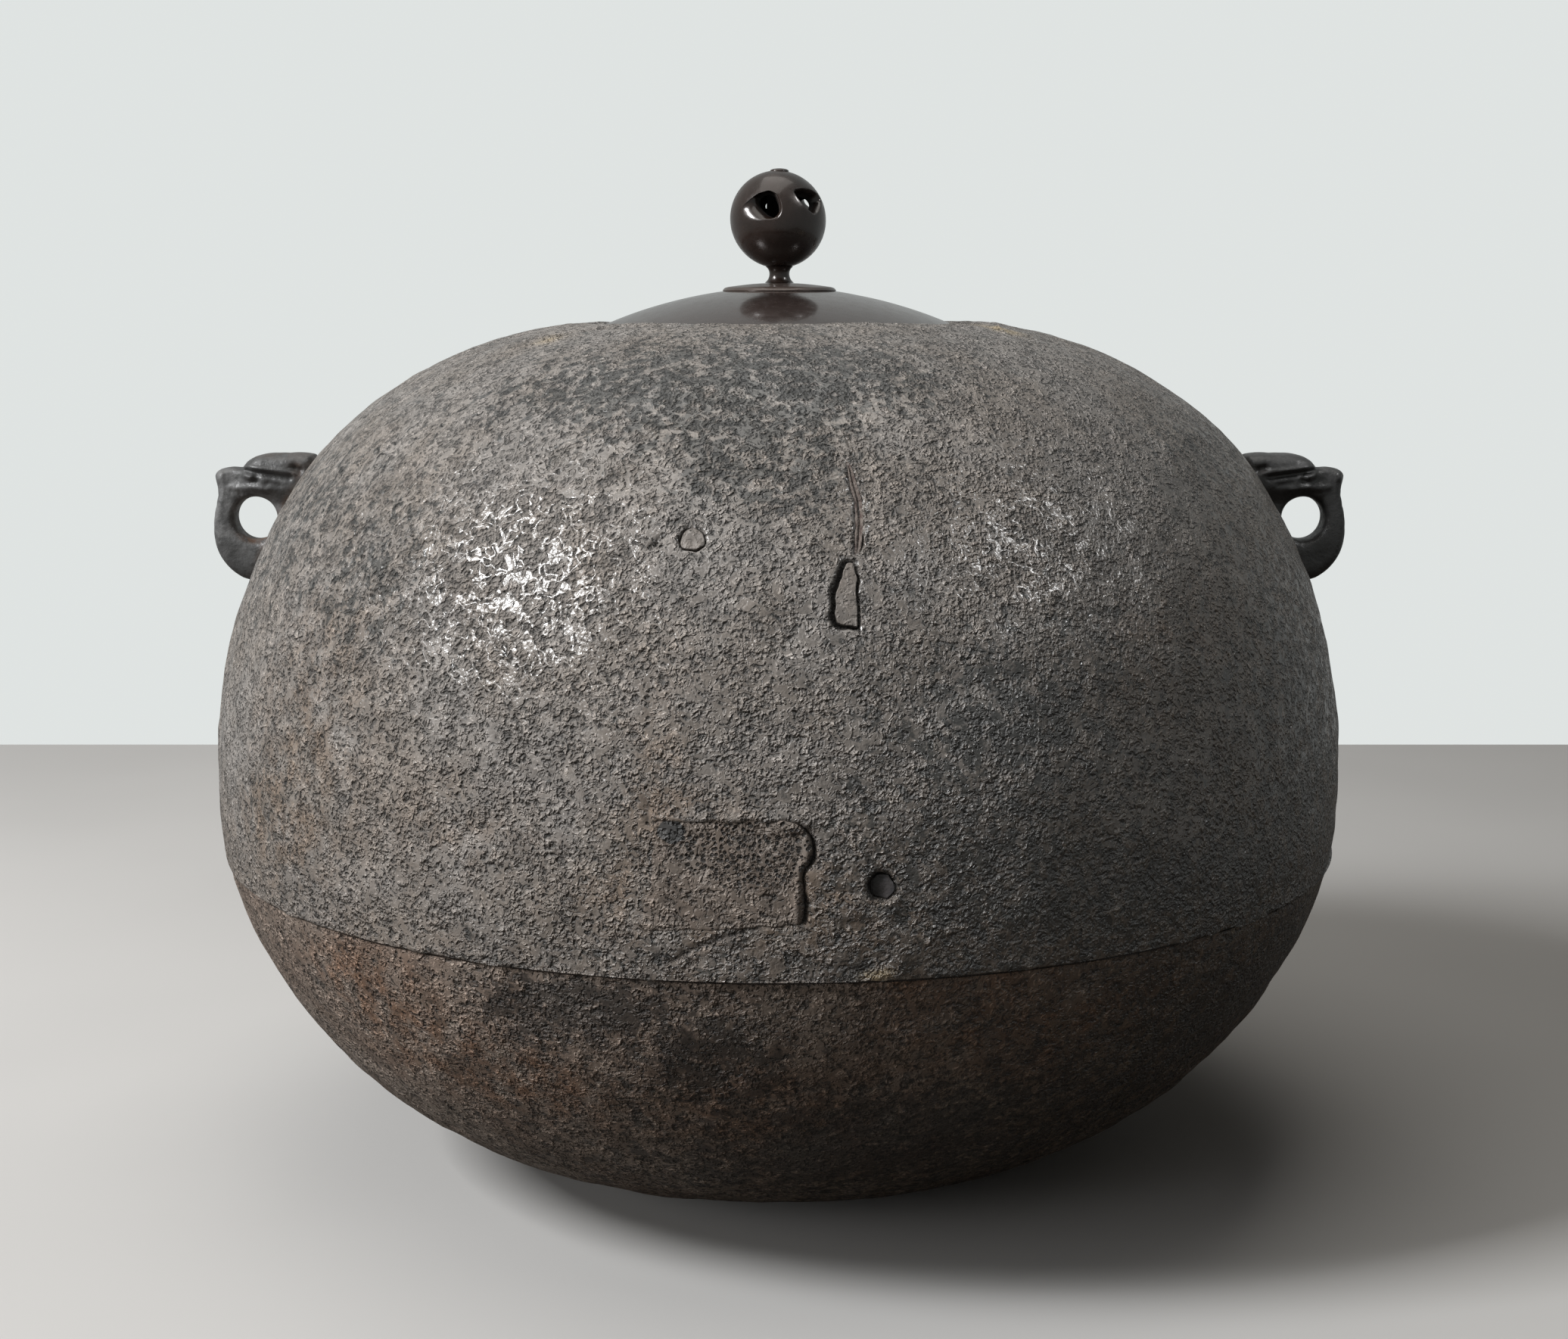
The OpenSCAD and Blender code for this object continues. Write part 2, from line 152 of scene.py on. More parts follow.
def rounded(corners: Array, radius: float) -> Array:
    """Polygon whose corners are cut by short curves.

    At each corner a quadratic curve runs between the points `radius` before and after it, or a little less than half
    an edge away where the edge is short.

    Args:
        corners: Sharp corners in order, (n, 2).
        radius: Distance from a corner to the ends of its curve.

    Returns:
        Outline points, (n, 2).
    """
    before, after = np.roll(corners, 1, axis=0) - corners, np.roll(corners, -1, axis=0) - corners
    for way in (before, after):
        way *= radius / np.maximum(np.linalg.norm(way, axis=1, keepdims=True), SHORT_EDGE * radius)
    t = np.linspace(0.0, 1.0, CORNER_POINTS)[None, :, None]
    curve = corners[:, None] + (1 - t) ** 2 * before[:, None] + t ** 2 * after[:, None]
    return curve.reshape(-1, 2)


def even_outline(outline: Array, count: int) -> Array:
    """Closed outline with `count` points at equal steps along its length."""
    closed = np.vstack([outline, outline[:1]])
    length = np.concatenate([[0.0], np.cumsum(np.linalg.norm(np.diff(closed, axis=0), axis=1))])
    at = np.linspace(0.0, length[-1], count, endpoint=False)
    return np.stack([np.interp(at, length, closed[:, 0]), np.interp(at, length, closed[:, 1])], -1)


def run_length(r: Array, z: Array) -> Array:
    """Length along a curve up to each of its points."""
    return np.concatenate([[0.0], np.cumsum(np.hypot(np.diff(r), np.diff(z)))])


def points_at(at: Array, run: Array, r: Array, z: Array) -> Array:
    """Points of a curve at given lengths along it, (n, 2)."""
    return np.stack([np.interp(at, run, r), np.interp(at, run, z)], -1)


def even_curve(r: Array, z: Array, count: int, back: bool = False) -> Array:
    """Points at equal steps along a curve, from its end to its start if `back`, (count, 2)."""
    run = run_length(r, z)
    at = np.linspace(run[-1], 0.0, count) if back else np.linspace(0.0, run[-1], count)
    return points_at(at, run, r, z)


def outward(section: Array) -> tuple[Array, Array]:
    """Outward normal at each point of a section: columns of its parts along radius and height."""
    along = np.gradient(section, axis=0)
    along /= np.maximum(np.linalg.norm(along, axis=1, keepdims=True), 1e-9)
    return along[:, 1:], -along[:, :1]


HASH_PRIMES = np.array([73856093, 19349663, 83492791])
HASH_SEED = 6364136
HASH_MIX = 1274126177
SEED_SHIFT = 17.31
NOISE_GAIN = 1.9
DIRECTIONS = np.random.default_rng(7).normal(size=(256, 3))
DIRECTIONS /= np.linalg.norm(DIRECTIONS, axis=1, keepdims=True)


@dataclass(frozen=True)
class Lumps:
    """Gradient noise in space, for the uneven skin of a casting.

    Attributes:
        wavelength: Size of one lump.
        depth: Height of the tallest lumps, about.
        seed: Which of many patterns.
    """

    wavelength: float
    depth: float
    seed: int

    def at(self, points: Array) -> Array:
        """Height of the lumps at points of space.

        Each corner of the cell round a point has a fixed direction. The dot product of that direction and the way
        from the corner is blended between the eight corners by a curve of the fifth degree.

        Args:
            points: Points, (..., 3).

        Returns:
            Heights, (...).
        """
        q = points / self.wavelength + SEED_SHIFT * self.seed
        cell = np.floor(q).astype(np.int64)
        f = q - cell
        fade = f ** 3 * (f * (f * 6.0 - 15.0) + 10.0)
        total = np.zeros(points.shape[:-1])
        for corner in np.ndindex(2, 2, 2):
            step = np.array(corner)
            key = ((cell + step) * HASH_PRIMES).sum(-1) + self.seed * HASH_SEED
            key = (key ^ (key >> 13)) * HASH_MIX
            way = DIRECTIONS[(key ^ (key >> 16)) & 255]
            share = np.prod(np.where(step == 1, fade, 1.0 - fade), axis=-1)
            total += share * ((f - step) * way).sum(-1)
        return total * NOISE_GAIN * self.depth


@dataclass
class Skin:
    """Points and faces of one piece, gathered from grids.

    Attributes:
        points: Arrays of points, (n, 3).
        faces: Arrays of corner numbers, (n, 3) or (n, 4).
        marks: Values kept at every point, by name.
        count: Points so far.
    """

    points: list[Array] = field(default_factory=list)
    faces: list[Array] = field(default_factory=list)
    marks: dict[str, list[Array]] = field(default_factory=dict)
    count: int = 0

    def sheet(self, grid: Array, ring: bool = False, loop: bool = False, flip: bool = False,
              tips: tuple[bool, bool] = (False, False), **marks: Array) -> "Skin":
        """Adds a grid of quads.

        Args:
            grid: Points, (rows, columns, 3). Columns to the right and rows upward face the viewer.
            ring: Whether the last column joins the first.
            loop: Whether the last row joins the first.
            flip: Whether the faces turn the other way.
            tips: Whether the first and the last row are closed by a fan round their middle.
            marks: Values for every point, (rows, columns).

        Returns:
            This skin.
        """
        rows, cols = grid.shape[:2]
        index = np.arange(rows * cols).reshape(rows, cols) + self.count
        here = index if ring else index[:, :-1]
        right = np.roll(index, -1, axis=1) if ring else index[:, 1:]
        above, above_right = (np.roll(a, -1, axis=0) if loop else a[1:] for a in (here, right))
        if not loop:
            here, right = here[:-1], right[:-1]
        quads = np.stack([here, right, above_right, above], -1).reshape(-1, 4)
        fans, extra = [], []
        for end, wanted in ((0, tips[0]), (-1, tips[1])):
            if wanted:
                tip = self.count + rows * cols + len(extra)
                extra.append(grid[end].mean(0))
                a, b = index[end], np.roll(index[end], -1)
                pair = (b, a) if end == 0 else (a, b)
                fans.append(np.stack([pair[0], pair[1], np.full(cols, tip)], -1))
        for faces in [quads] + fans:
            self.faces.append(faces[:, ::-1] if flip else faces)
        self.points.append(np.vstack([grid.reshape(-1, 3)] + [e[None] for e in extra]))
        for name in set(self.marks) | set(marks):
            value = np.broadcast_to(marks.get(name, np.zeros(1)), (rows, cols)).reshape(-1)
            value = np.concatenate([value, np.full(len(extra), value.mean())])
            self.marks.setdefault(name, [np.zeros(self.count)] if self.count else []).append(value)
        self.count += rows * cols + len(extra)
        return self

    def volume(self) -> float:
        """Enclosed volume: the sum of the pyramids from the origin to each face, below 0 if the faces look inward."""
        points = np.vstack(self.points)
        total = 0.0
        for faces in self.faces:
            for k in range(1, faces.shape[1] - 1):
                a, b, c = (points[faces[:, i]] for i in (0, k, k + 1))
                total += float(np.einsum("ij,ij->", a, np.cross(b, c))) / 6.0
        return total

    def to_object(self, name: str, weld: bool = False, sharp: float = 60.0, closed: bool = True) -> bpy.types.Object:
        """Writes the mesh and its object.

        Args:
            name: Name of the piece.
            weld: Whether points that coincide become one.
            sharp: Angle in degrees from which an edge stays sharp.
            closed: Whether the skin is closed, so that its faces are turned outward by its volume.

        Returns:
            The new object, linked to the scene.
        """
        points = np.vstack(self.points) * MM
        if closed and self.volume() < 0.0:
            self.faces = [faces[:, ::-1] for faces in self.faces]
        sizes = np.concatenate([np.full(len(f), f.shape[1]) for f in self.faces])
        corners = np.concatenate([f.reshape(-1) for f in self.faces])
        mesh = bpy.data.meshes.new(name)
        mesh.vertices.add(len(points))
        mesh.vertices.foreach_set("co", points.astype(np.float32).reshape(-1))
        mesh.loops.add(len(corners))
        mesh.loops.foreach_set("vertex_index", corners.astype(np.int32))
        mesh.polygons.add(len(sizes))
        mesh.polygons.foreach_set("loop_start", np.concatenate([[0], np.cumsum(sizes)[:-1]]).astype(np.int32))
        mesh.update(calc_edges=True)
        for mark, values in self.marks.items():
            attribute = mesh.attributes.new(mark, "FLOAT", "POINT")
            attribute.data.foreach_set("value", np.concatenate(values).astype(np.float32))
        if weld:
            board = bmesh.new()
            board.from_mesh(mesh)
            bmesh.ops.remove_doubles(board, verts=board.verts, dist=WELD_M)
            bmesh.ops.dissolve_degenerate(board, edges=board.edges, dist=SLIVER_M)
            board.to_mesh(mesh)
            board.free()
        mesh.polygons.foreach_set("use_smooth", np.ones(len(mesh.polygons), bool))
        mesh.set_sharp_from_angle(angle=math.radians(sharp))
        mesh.validate()
        piece = bpy.data.objects.new(name, mesh)
        bpy.context.scene.collection.objects.link(piece)
        return piece


def turned(r: Array, z: Array, azimuth: Array) -> Array:
    """Surface of revolution: radius r and height z carried round the axis at each azimuth in radians."""
    r, z, azimuth = np.broadcast_arrays(r, z, azimuth)
    return np.stack([r * np.sin(azimuth), -r * np.cos(azimuth), z], -1)


def full_turn(columns: int) -> Array:
    """Azimuths in radians once round the axis, (1, columns)."""
    return np.linspace(-math.pi, math.pi, columns, endpoint=False)[None]


def lathe(section: Array, columns: int) -> Array:
    """Section of points (radius, height) carried round the axis, (n, columns, 3)."""
    return turned(section[:, :1], section[:, 1:], full_turn(columns))


def shade(colour: Colour, factor: float) -> Colour:
    """Colour made darker or lighter by a factor."""
    return tuple(factor * c for c in colour)


class NodeBoard:
    """Lays out the shader nodes of one finish."""

    def __init__(self, name: str) -> None:
        """Starts an empty material of that name with a shader and an output."""
        self.material = bpy.data.materials.new(name)
        self.material.use_nodes = True
        self.tree = self.material.node_tree
        self.tree.nodes.clear()
        self.output = self.tree.nodes.new("ShaderNodeOutputMaterial")
        self.shader = self.tree.nodes.new("ShaderNodeBsdfPrincipled")
        self.tree.links.new(self.shader.outputs[0], self.output.inputs["Surface"])
        scale = self.node("ShaderNodeVectorMath", operation="SCALE")
        self.feed(scale.inputs[0], self.node("ShaderNodeTexCoord").outputs["Object"])
        scale.inputs["Scale"].default_value = 1.0 / MM
        self.place = scale.outputs[0]

    def node(self, kind: str, **settings: object) -> bpy.types.Node:
        """Adds a node of a kind with some of its properties set."""
        made = self.tree.nodes.new(kind)
        for name, value in settings.items():
            setattr(made, name, value)
        return made

    def feed(self, socket: Socket, value: object) -> None:
        """Links a socket to another one, or sets its own value."""
        if isinstance(value, bpy.types.NodeSocket):
            self.tree.links.new(value, socket)
        elif isinstance(value, tuple) and len(value) == 3 and socket.type == "RGBA":
            socket.default_value = (*value, 1.0)
        else:
            socket.default_value = value

    def noise(self, size: float, detail: float = 2.0, rough: float = 0.5, twist: float = 0.0) -> Socket:
        """Noise whose lumps are about `size` millimetres, from 0 to 1."""
        made = self.node("ShaderNodeTexNoise")
        self.feed(made.inputs["Vector"], self.place)
        made.inputs["Scale"].default_value = 1.0 / size
        made.inputs["Detail"].default_value = detail
        made.inputs["Roughness"].default_value = rough
        made.inputs["Distortion"].default_value = twist
        return made.outputs[0]

    def cells(self, size: float) -> Socket:
        """Distance to the nearest of scattered points about `size` millimetres apart, from 0."""
        made = self.node("ShaderNodeTexVoronoi", feature="F1")
        self.feed(made.inputs["Vector"], self.place)
        made.inputs["Scale"].default_value = 1.0 / size
        return made.outputs["Distance"]

    def mark(self, name: str) -> Socket:
        """Value that the mesh keeps at its points."""
        return self.node("ShaderNodeAttribute", attribute_name=name).outputs["Fac"]

    def step(self, value: Socket, low: float, high: float, to_low: float = 0.0, to_high: float = 1.0) -> Socket:
        """Smooth step of a value from low to high."""
        made = self.node("ShaderNodeMapRange", interpolation_type="SMOOTHSTEP")
        for number, item in enumerate((value, low, high, to_low, to_high)):
            self.feed(made.inputs[number], item)
        return made.outputs[0]

    def math(self, kind: str, a: object, b: object = 0.0, c: object = 0.0, clamp: bool = False) -> Socket:
        """Arithmetic on up to three values."""
        made = self.node("ShaderNodeMath", operation=kind, use_clamp=clamp)
        for number, item in enumerate((a, b, c)):
            self.feed(made.inputs[number], item)
        return made.outputs[0]

    def mix(self, share: object, a: object, b: object, blend: str = "MIX") -> Socket:
        """Blend of two colours."""
        made = self.node("ShaderNodeMix", data_type="RGBA", blend_type=blend)
        self.feed(made.inputs[0], share)
        self.feed(made.inputs[6], a)
        self.feed(made.inputs[7], b)
        return made.outputs[2]

    def times(self, a: object, b: object) -> Socket:
        """Product of two values."""
        return self.math("MULTIPLY", a, b)

    def times_add(self, a: object, b: object, c: object) -> Socket:
        """Product of two values, plus a third."""
        return self.math("MULTIPLY_ADD", a, b, c)

    def bump(self, height: Socket, depth: float) -> Socket:
        """Normal that a height from 0 to 1 of `depth` millimetres gives."""
        made = self.node("ShaderNodeBump")
        made.inputs["Strength"].default_value = 1.0
        made.inputs["Distance"].default_value = depth * MM
        self.feed(made.inputs["Height"], height)
        return made.outputs[0]

    def finish(self, colour: object, rough: object, normal: Socket | None, metal: float = 0.0,
               ior: object = 1.5, coat: object = 0.0, coat_rough: float = 0.2) -> bpy.types.Material:
        """Sets the shader's sockets.

        Args:
            colour: Base colour.
            rough: Roughness.
            normal: Normal from a bump, if any.
            metal: Share of bare metal.
            ior: Index of refraction.
            coat: Weight of a clear coat.
            coat_rough: Roughness of that coat.

        Returns:
            The material.
        """
        self.feed(self.shader.inputs["Base Color"], colour)
        self.feed(self.shader.inputs["Roughness"], rough)
        self.shader.inputs["Metallic"].default_value = metal
        self.feed(self.shader.inputs["IOR"], ior)
        self.feed(self.shader.inputs["Coat Weight"], coat)
        self.shader.inputs["Coat Roughness"].default_value = coat_rough
        if normal is not None:
            self.feed(self.shader.inputs["Normal"], normal)
        return self.material


@dataclass(frozen=True)
class CastIron:
    """Weathered cast iron: rough pale grain, glossy ridges of old skin, dark flakes, pits and rust bloom, with
    painted shade in the grain's hollows and pits and painted sheen on its tops.

    Attributes:
        name: Name of the material.
        ground: Colour of the grain's tops.
        second: Colour that the ground drifts to in clouds.
        rust: Colour of rust bloom.
        flake: Tint of the dark flakes.
        flake_level: Noise level from which flakes show where no soot is marked.
        grain: Size of the grain.
        ridge: Size of the glossy ridges.
        depth: Depth of the grain.
        rough: Roughness of the grain and of the ridges.
        ior: Index of refraction.
        relief_shade_and_sheen: Painted shade that darkens the grain's hollows, and painted sheen that lightens its
            tops.
        worn: Colour of chips in the skin.
    """

    name: str
    ground: Colour
    second: Colour
    rust: Colour
    flake: Colour
    flake_level: float = 0.60
    grain: float = 0.95
    ridge: float = 2.7
    depth: float = 4.10
    rough: tuple[float, float] = (0.48, 0.23)
    ior: float = 1.70
    relief_shade_and_sheen: tuple[float, float] = (0.37, 1.85)
    worn: Colour = (0.56, 0.44, 0.27)

    def material(self) -> bpy.types.Material:
        """Builds the node material and returns it."""
        n = NodeBoard(self.name)
        calm = n.times_add(n.mark("holes"), -0.35, 1.0)
        grains = n.times_add(n.noise(2.3 * self.grain, 1.0, 0.5, 0.4), 0.42, -0.085)
        grains = n.times_add(n.noise(self.grain, 1.6, 0.5, 0.5), 0.75, grains)
        relief = n.times_add(n.noise(0.5 * self.grain, 2.0, 0.6), 0.22, n.times(grains, 0.9))
        relief = n.times(relief, calm)
        line = n.math("ABSOLUTE", n.math("SUBTRACT", n.noise(self.ridge, 1.5, 0.5, 0.9), 0.5))
        where = n.step(n.noise(4.5), 0.40, 0.46)
        worm = n.times(n.step(line, 0.036, 0.025), where)
        level = n.times(n.step(line, 0.078, 0.042), where)
        pit = n.step(n.noise(1.9, 3.0, 0.62, 0.6), 0.345, 0.275)
        holes = n.times(n.step(n.cells(0.95), 0.46, 0.29), n.step(n.mark("holes"), 0.25, 0.5))
        pit = n.math("MAXIMUM", n.times(pit, calm), holes)
        height = n.times(relief, n.times_add(level, -0.94, 1.0))
        height = n.times_add(level, 0.54, height)
        height = n.times_add(pit, -0.4, height)
        colour = n.mix(n.step(n.noise(22.0, 5.0, 0.62), 0.36, 0.64), self.second, self.ground)
        rusty = n.math("MULTIPLY", n.mark("rust"), n.step(n.noise(6.0, 5.0, 0.68), 0.36, 0.64), clamp=True)
        colour = n.mix(rusty, colour, self.rust)
        # Flakes follow the soot-and-shade mark, whose band above the seam and low right patch are partly painted
        # shade.
        flaked = n.times_add(n.mark("soot"), 0.21, n.noise(2.8, 5.0, 0.68, 0.4))
        flaked = n.step(flaked, self.flake_level, self.flake_level + 0.10)
        colour = n.mix(flaked, colour, n.mix(1.0, colour, self.flake, "MULTIPLY"))
        # Painted shade in the grain's hollows and painted sheen on its tops, following the bump's height.
        tops = n.math("ADD", n.step(grains, 0.36, 0.50, self.relief_shade_and_sheen[0], 1.0),
                      n.step(grains, 0.53, 0.66, 0.0, self.relief_shade_and_sheen[1] - 1.0))
        tops = n.times_add(n.math("SUBTRACT", 0.95, tops), n.math("MAXIMUM", worm, n.mark("holes")), tops)
        tops = n.times(tops, n.step(n.noise(7.0, 4.0, 0.6), 0.34, 0.66, 0.82, 1.16))
        # Pits and pinholes go darker: painted shade in them.
        tops = n.times(tops, n.times_add(pit, -0.85, 1.0))
        colour = n.mix(1.0, colour, tops, "MULTIPLY")
        colour = n.mix(n.mark("worn"), colour, self.worn)
        # Grooves, splits, pocket brims and deeply sunk faces go dark brown: painted shade.
        colour = n.mix(n.mark("groove"), colour, shade(self.rust, 0.10))
        rough = n.step(grains, 0.46, 0.64, self.rough[0] + 0.08, self.rough[0] - 0.13)
        rough = n.step(worm, 0.0, 1.0, rough, self.rough[1])
        rough = n.math("MAXIMUM", rough, n.times(n.mark("groove"), 0.8))
        return n.finish(colour, rough, n.bump(height, self.depth), ior=self.ior)


@dataclass(frozen=True)
class SmoothIron:
    """Finer, darker casting of the lugs: charcoal with brown in its hollows and a soft sheen.

    Attributes:
        name: Name of the material.
        colour: Main colour.
        brown: Colour of the rust in places.
        rough: Roughness.
    """

    name: str
    colour: Colour
    brown: Colour
    rough: float = 0.46

    def material(self) -> bpy.types.Material:
        """Builds the node material and returns it."""
        n = NodeBoard(self.name)
        grain = n.noise(1.3, 4.0, 0.62)
        colour = n.mix(n.step(n.noise(3.4, 5.0, 0.65), 0.40, 0.62), self.colour, shade(self.colour, 0.5))
        colour = n.mix(n.times(n.mark("rust"), n.step(n.noise(2.5, 4.0, 0.6), 0.3, 0.6)), colour, self.brown)
        # The soot-and-shade mark darkens the colour: on the lugs it is painted shade.
        colour = n.mix(n.mark("soot"), colour, shade(self.colour, 0.25))
        # Marked grooves and sunk faces go dark: painted shade.
        colour = n.mix(n.mark("groove"), colour, shade(self.brown, 0.1))
        rough = n.step(grain, 0.3, 0.7, self.rough - 0.08, self.rough + 0.14)
        return n.finish(colour, rough, n.bump(grain, 0.22))


@dataclass(frozen=True)
class Bronze:
    """Patinated bronze: brown skin with cloudy tone, faint brush marks and a satin gloss.

    Attributes:
        name: Name of the material.
        colour: Main colour.
        dark: Colour of the darker clouds.
        rough: Roughness.
        metal: Share of bare metal.
        coat: Weight of the glossy skin.
    """

    name: str
    colour: Colour
    dark: Colour
    rough: float = 0.34
    metal: float = 0.3
    coat: float = 0.25

    def material(self) -> bpy.types.Material:
        """Builds the node material and returns it."""
        n = NodeBoard(self.name)
        cloud = n.step(n.noise(11.0, 5.0, 0.6), 0.35, 0.68)
        colour = n.mix(cloud, self.colour, self.dark)
        colour = n.mix(n.step(n.noise(1.1, 3.0, 0.6), 0.52, 0.72, 0.0, 0.35), colour, shade(self.colour, 1.5))
        # Inside of the pierced ball and the throats of its openings go dark: painted shade.
        colour = n.mix(n.mark("groove"), colour, shade(self.dark, 0.08))
        rough = n.step(n.noise(2.5, 4.0, 0.6), 0.3, 0.7, self.rough - 0.06, self.rough + 0.1)
        rough = n.math("MAXIMUM", rough, n.mark("groove"))
        normal = n.bump(n.noise(1.6, 3.0, 0.55), 0.035)
        coat = n.times_add(n.mark("groove"), -self.coat, self.coat)
        return n.finish(colour, rough, normal, metal=self.metal, coat=coat, coat_rough=0.10)


@dataclass(frozen=True)
class Filling:
    """Lacquer and iron paste: dull, grainy and cracked.

    Attributes:
        name: Name of the material.
        colour: Main colour.
        dark: Colour of the hollows.
        rough: Roughness.
    """

    name: str
    colour: Colour
    dark: Colour
    rough: float = 0.6

    def material(self) -> bpy.types.Material:
        """Builds the node material and returns it."""
        n = NodeBoard(self.name)
        grain = n.noise(0.8, 4.0, 0.65)
        colour = n.mix(n.step(grain, 0.36, 0.6), self.dark, self.colour)
        # The crack's marked lines go dark: painted shade.
        colour = n.mix(n.mark("groove"), colour, shade(self.dark, 0.2))
        return n.finish(colour, self.rough, n.bump(grain, 0.6))


BODY_IRON = CastIron("rough_body_iron", (0.264, 0.241, 0.222), (0.231, 0.200, 0.174), (0.214, 0.162, 0.124),
                     (0.30, 0.32, 0.33), flake_level=0.62)
PAN_IRON = CastIron("rough_pan_iron", (0.270, 0.222, 0.187), (0.198, 0.151, 0.122), (0.214, 0.130, 0.087),
                    (0.38, 0.40, 0.42), flake_level=0.56, depth=2.80, rough=(0.54, 0.42), ior=1.5, relief_shade_and_sheen=(0.34, 2.2))
PANEL_IRON = CastIron("pinholed_panel_iron", (0.248, 0.213, 0.185), (0.212, 0.175, 0.148), (0.196, 0.136, 0.100),
                      (0.36, 0.43, 0.50), flake_level=0.68, depth=2.40, rough=(0.56, 0.4), ior=1.5,
                      relief_shade_and_sheen=(0.38, 1.95))
PLUG_IRON = CastIron("smooth_plug_iron", (0.258, 0.234, 0.214), (0.231, 0.203, 0.180), (0.214, 0.162, 0.124),
                     (0.50, 0.53, 0.55), flake_level=0.62, depth=0.70, rough=(0.58, 0.45), ior=1.5,
                     relief_shade_and_sheen=(0.75, 1.25))
LUG_IRON = SmoothIron("lug_casting", (0.165, 0.164, 0.163), (0.120, 0.060, 0.032), 0.38)
PIN_IRON = SmoothIron("pin_iron", (0.062, 0.060, 0.064), (0.060, 0.045, 0.038), 0.5)
PLATE_IRON = SmoothIron("floor_plate_iron", (0.060, 0.048, 0.040), (0.120, 0.060, 0.035), 0.6)
LID_BRONZE = Bronze("lid_patina", (0.060, 0.044, 0.040), (0.050, 0.036, 0.032), 0.20, 0.25, 0.85)
SEAT_BRONZE = Bronze("disc_patina", (0.090, 0.068, 0.058), (0.066, 0.049, 0.042), 0.32, 0.25, 0.3)
KNOB_BRONZE = Bronze("knob_patina", (0.030, 0.018, 0.014), (0.020, 0.013, 0.010), 0.28, 0.2, 0.35)
CRACK_LACQUER = Filling("crack_filling_paste", (0.190, 0.158, 0.136), (0.070, 0.044, 0.036))
CEMENT = Filling("seam_cement_paste", (0.046, 0.034, 0.027), (0.020, 0.014, 0.012), 0.75)
PAD_LACQUER = Filling("bed_lacquer", (0.030, 0.014, 0.010), (0.012, 0.006, 0.005), 0.35)


@lru_cache(maxsize=None)
def material_of(finish: CastIron | SmoothIron | Bronze | Filling) -> bpy.types.Material:
    """Material of a finish, built once."""
    return finish.material()


def place_piece(piece: bpy.types.Object, body: str, nodes: list[str],
                finish: CastIron | SmoothIron | Bronze | Filling) -> None:
    """Dresses a piece and hands it to the frame.

    Args:
        piece: The new object.
        body: CAD body that it moves with.
        nodes: CAD nodes that it stands for.
        finish: Its finish.
    """
    piece.data.materials.append(material_of(finish))
    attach(piece, body)
    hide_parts(*nodes)
    LOG.info("%s: %d points on %s", piece.name, len(piece.data.vertices), body)


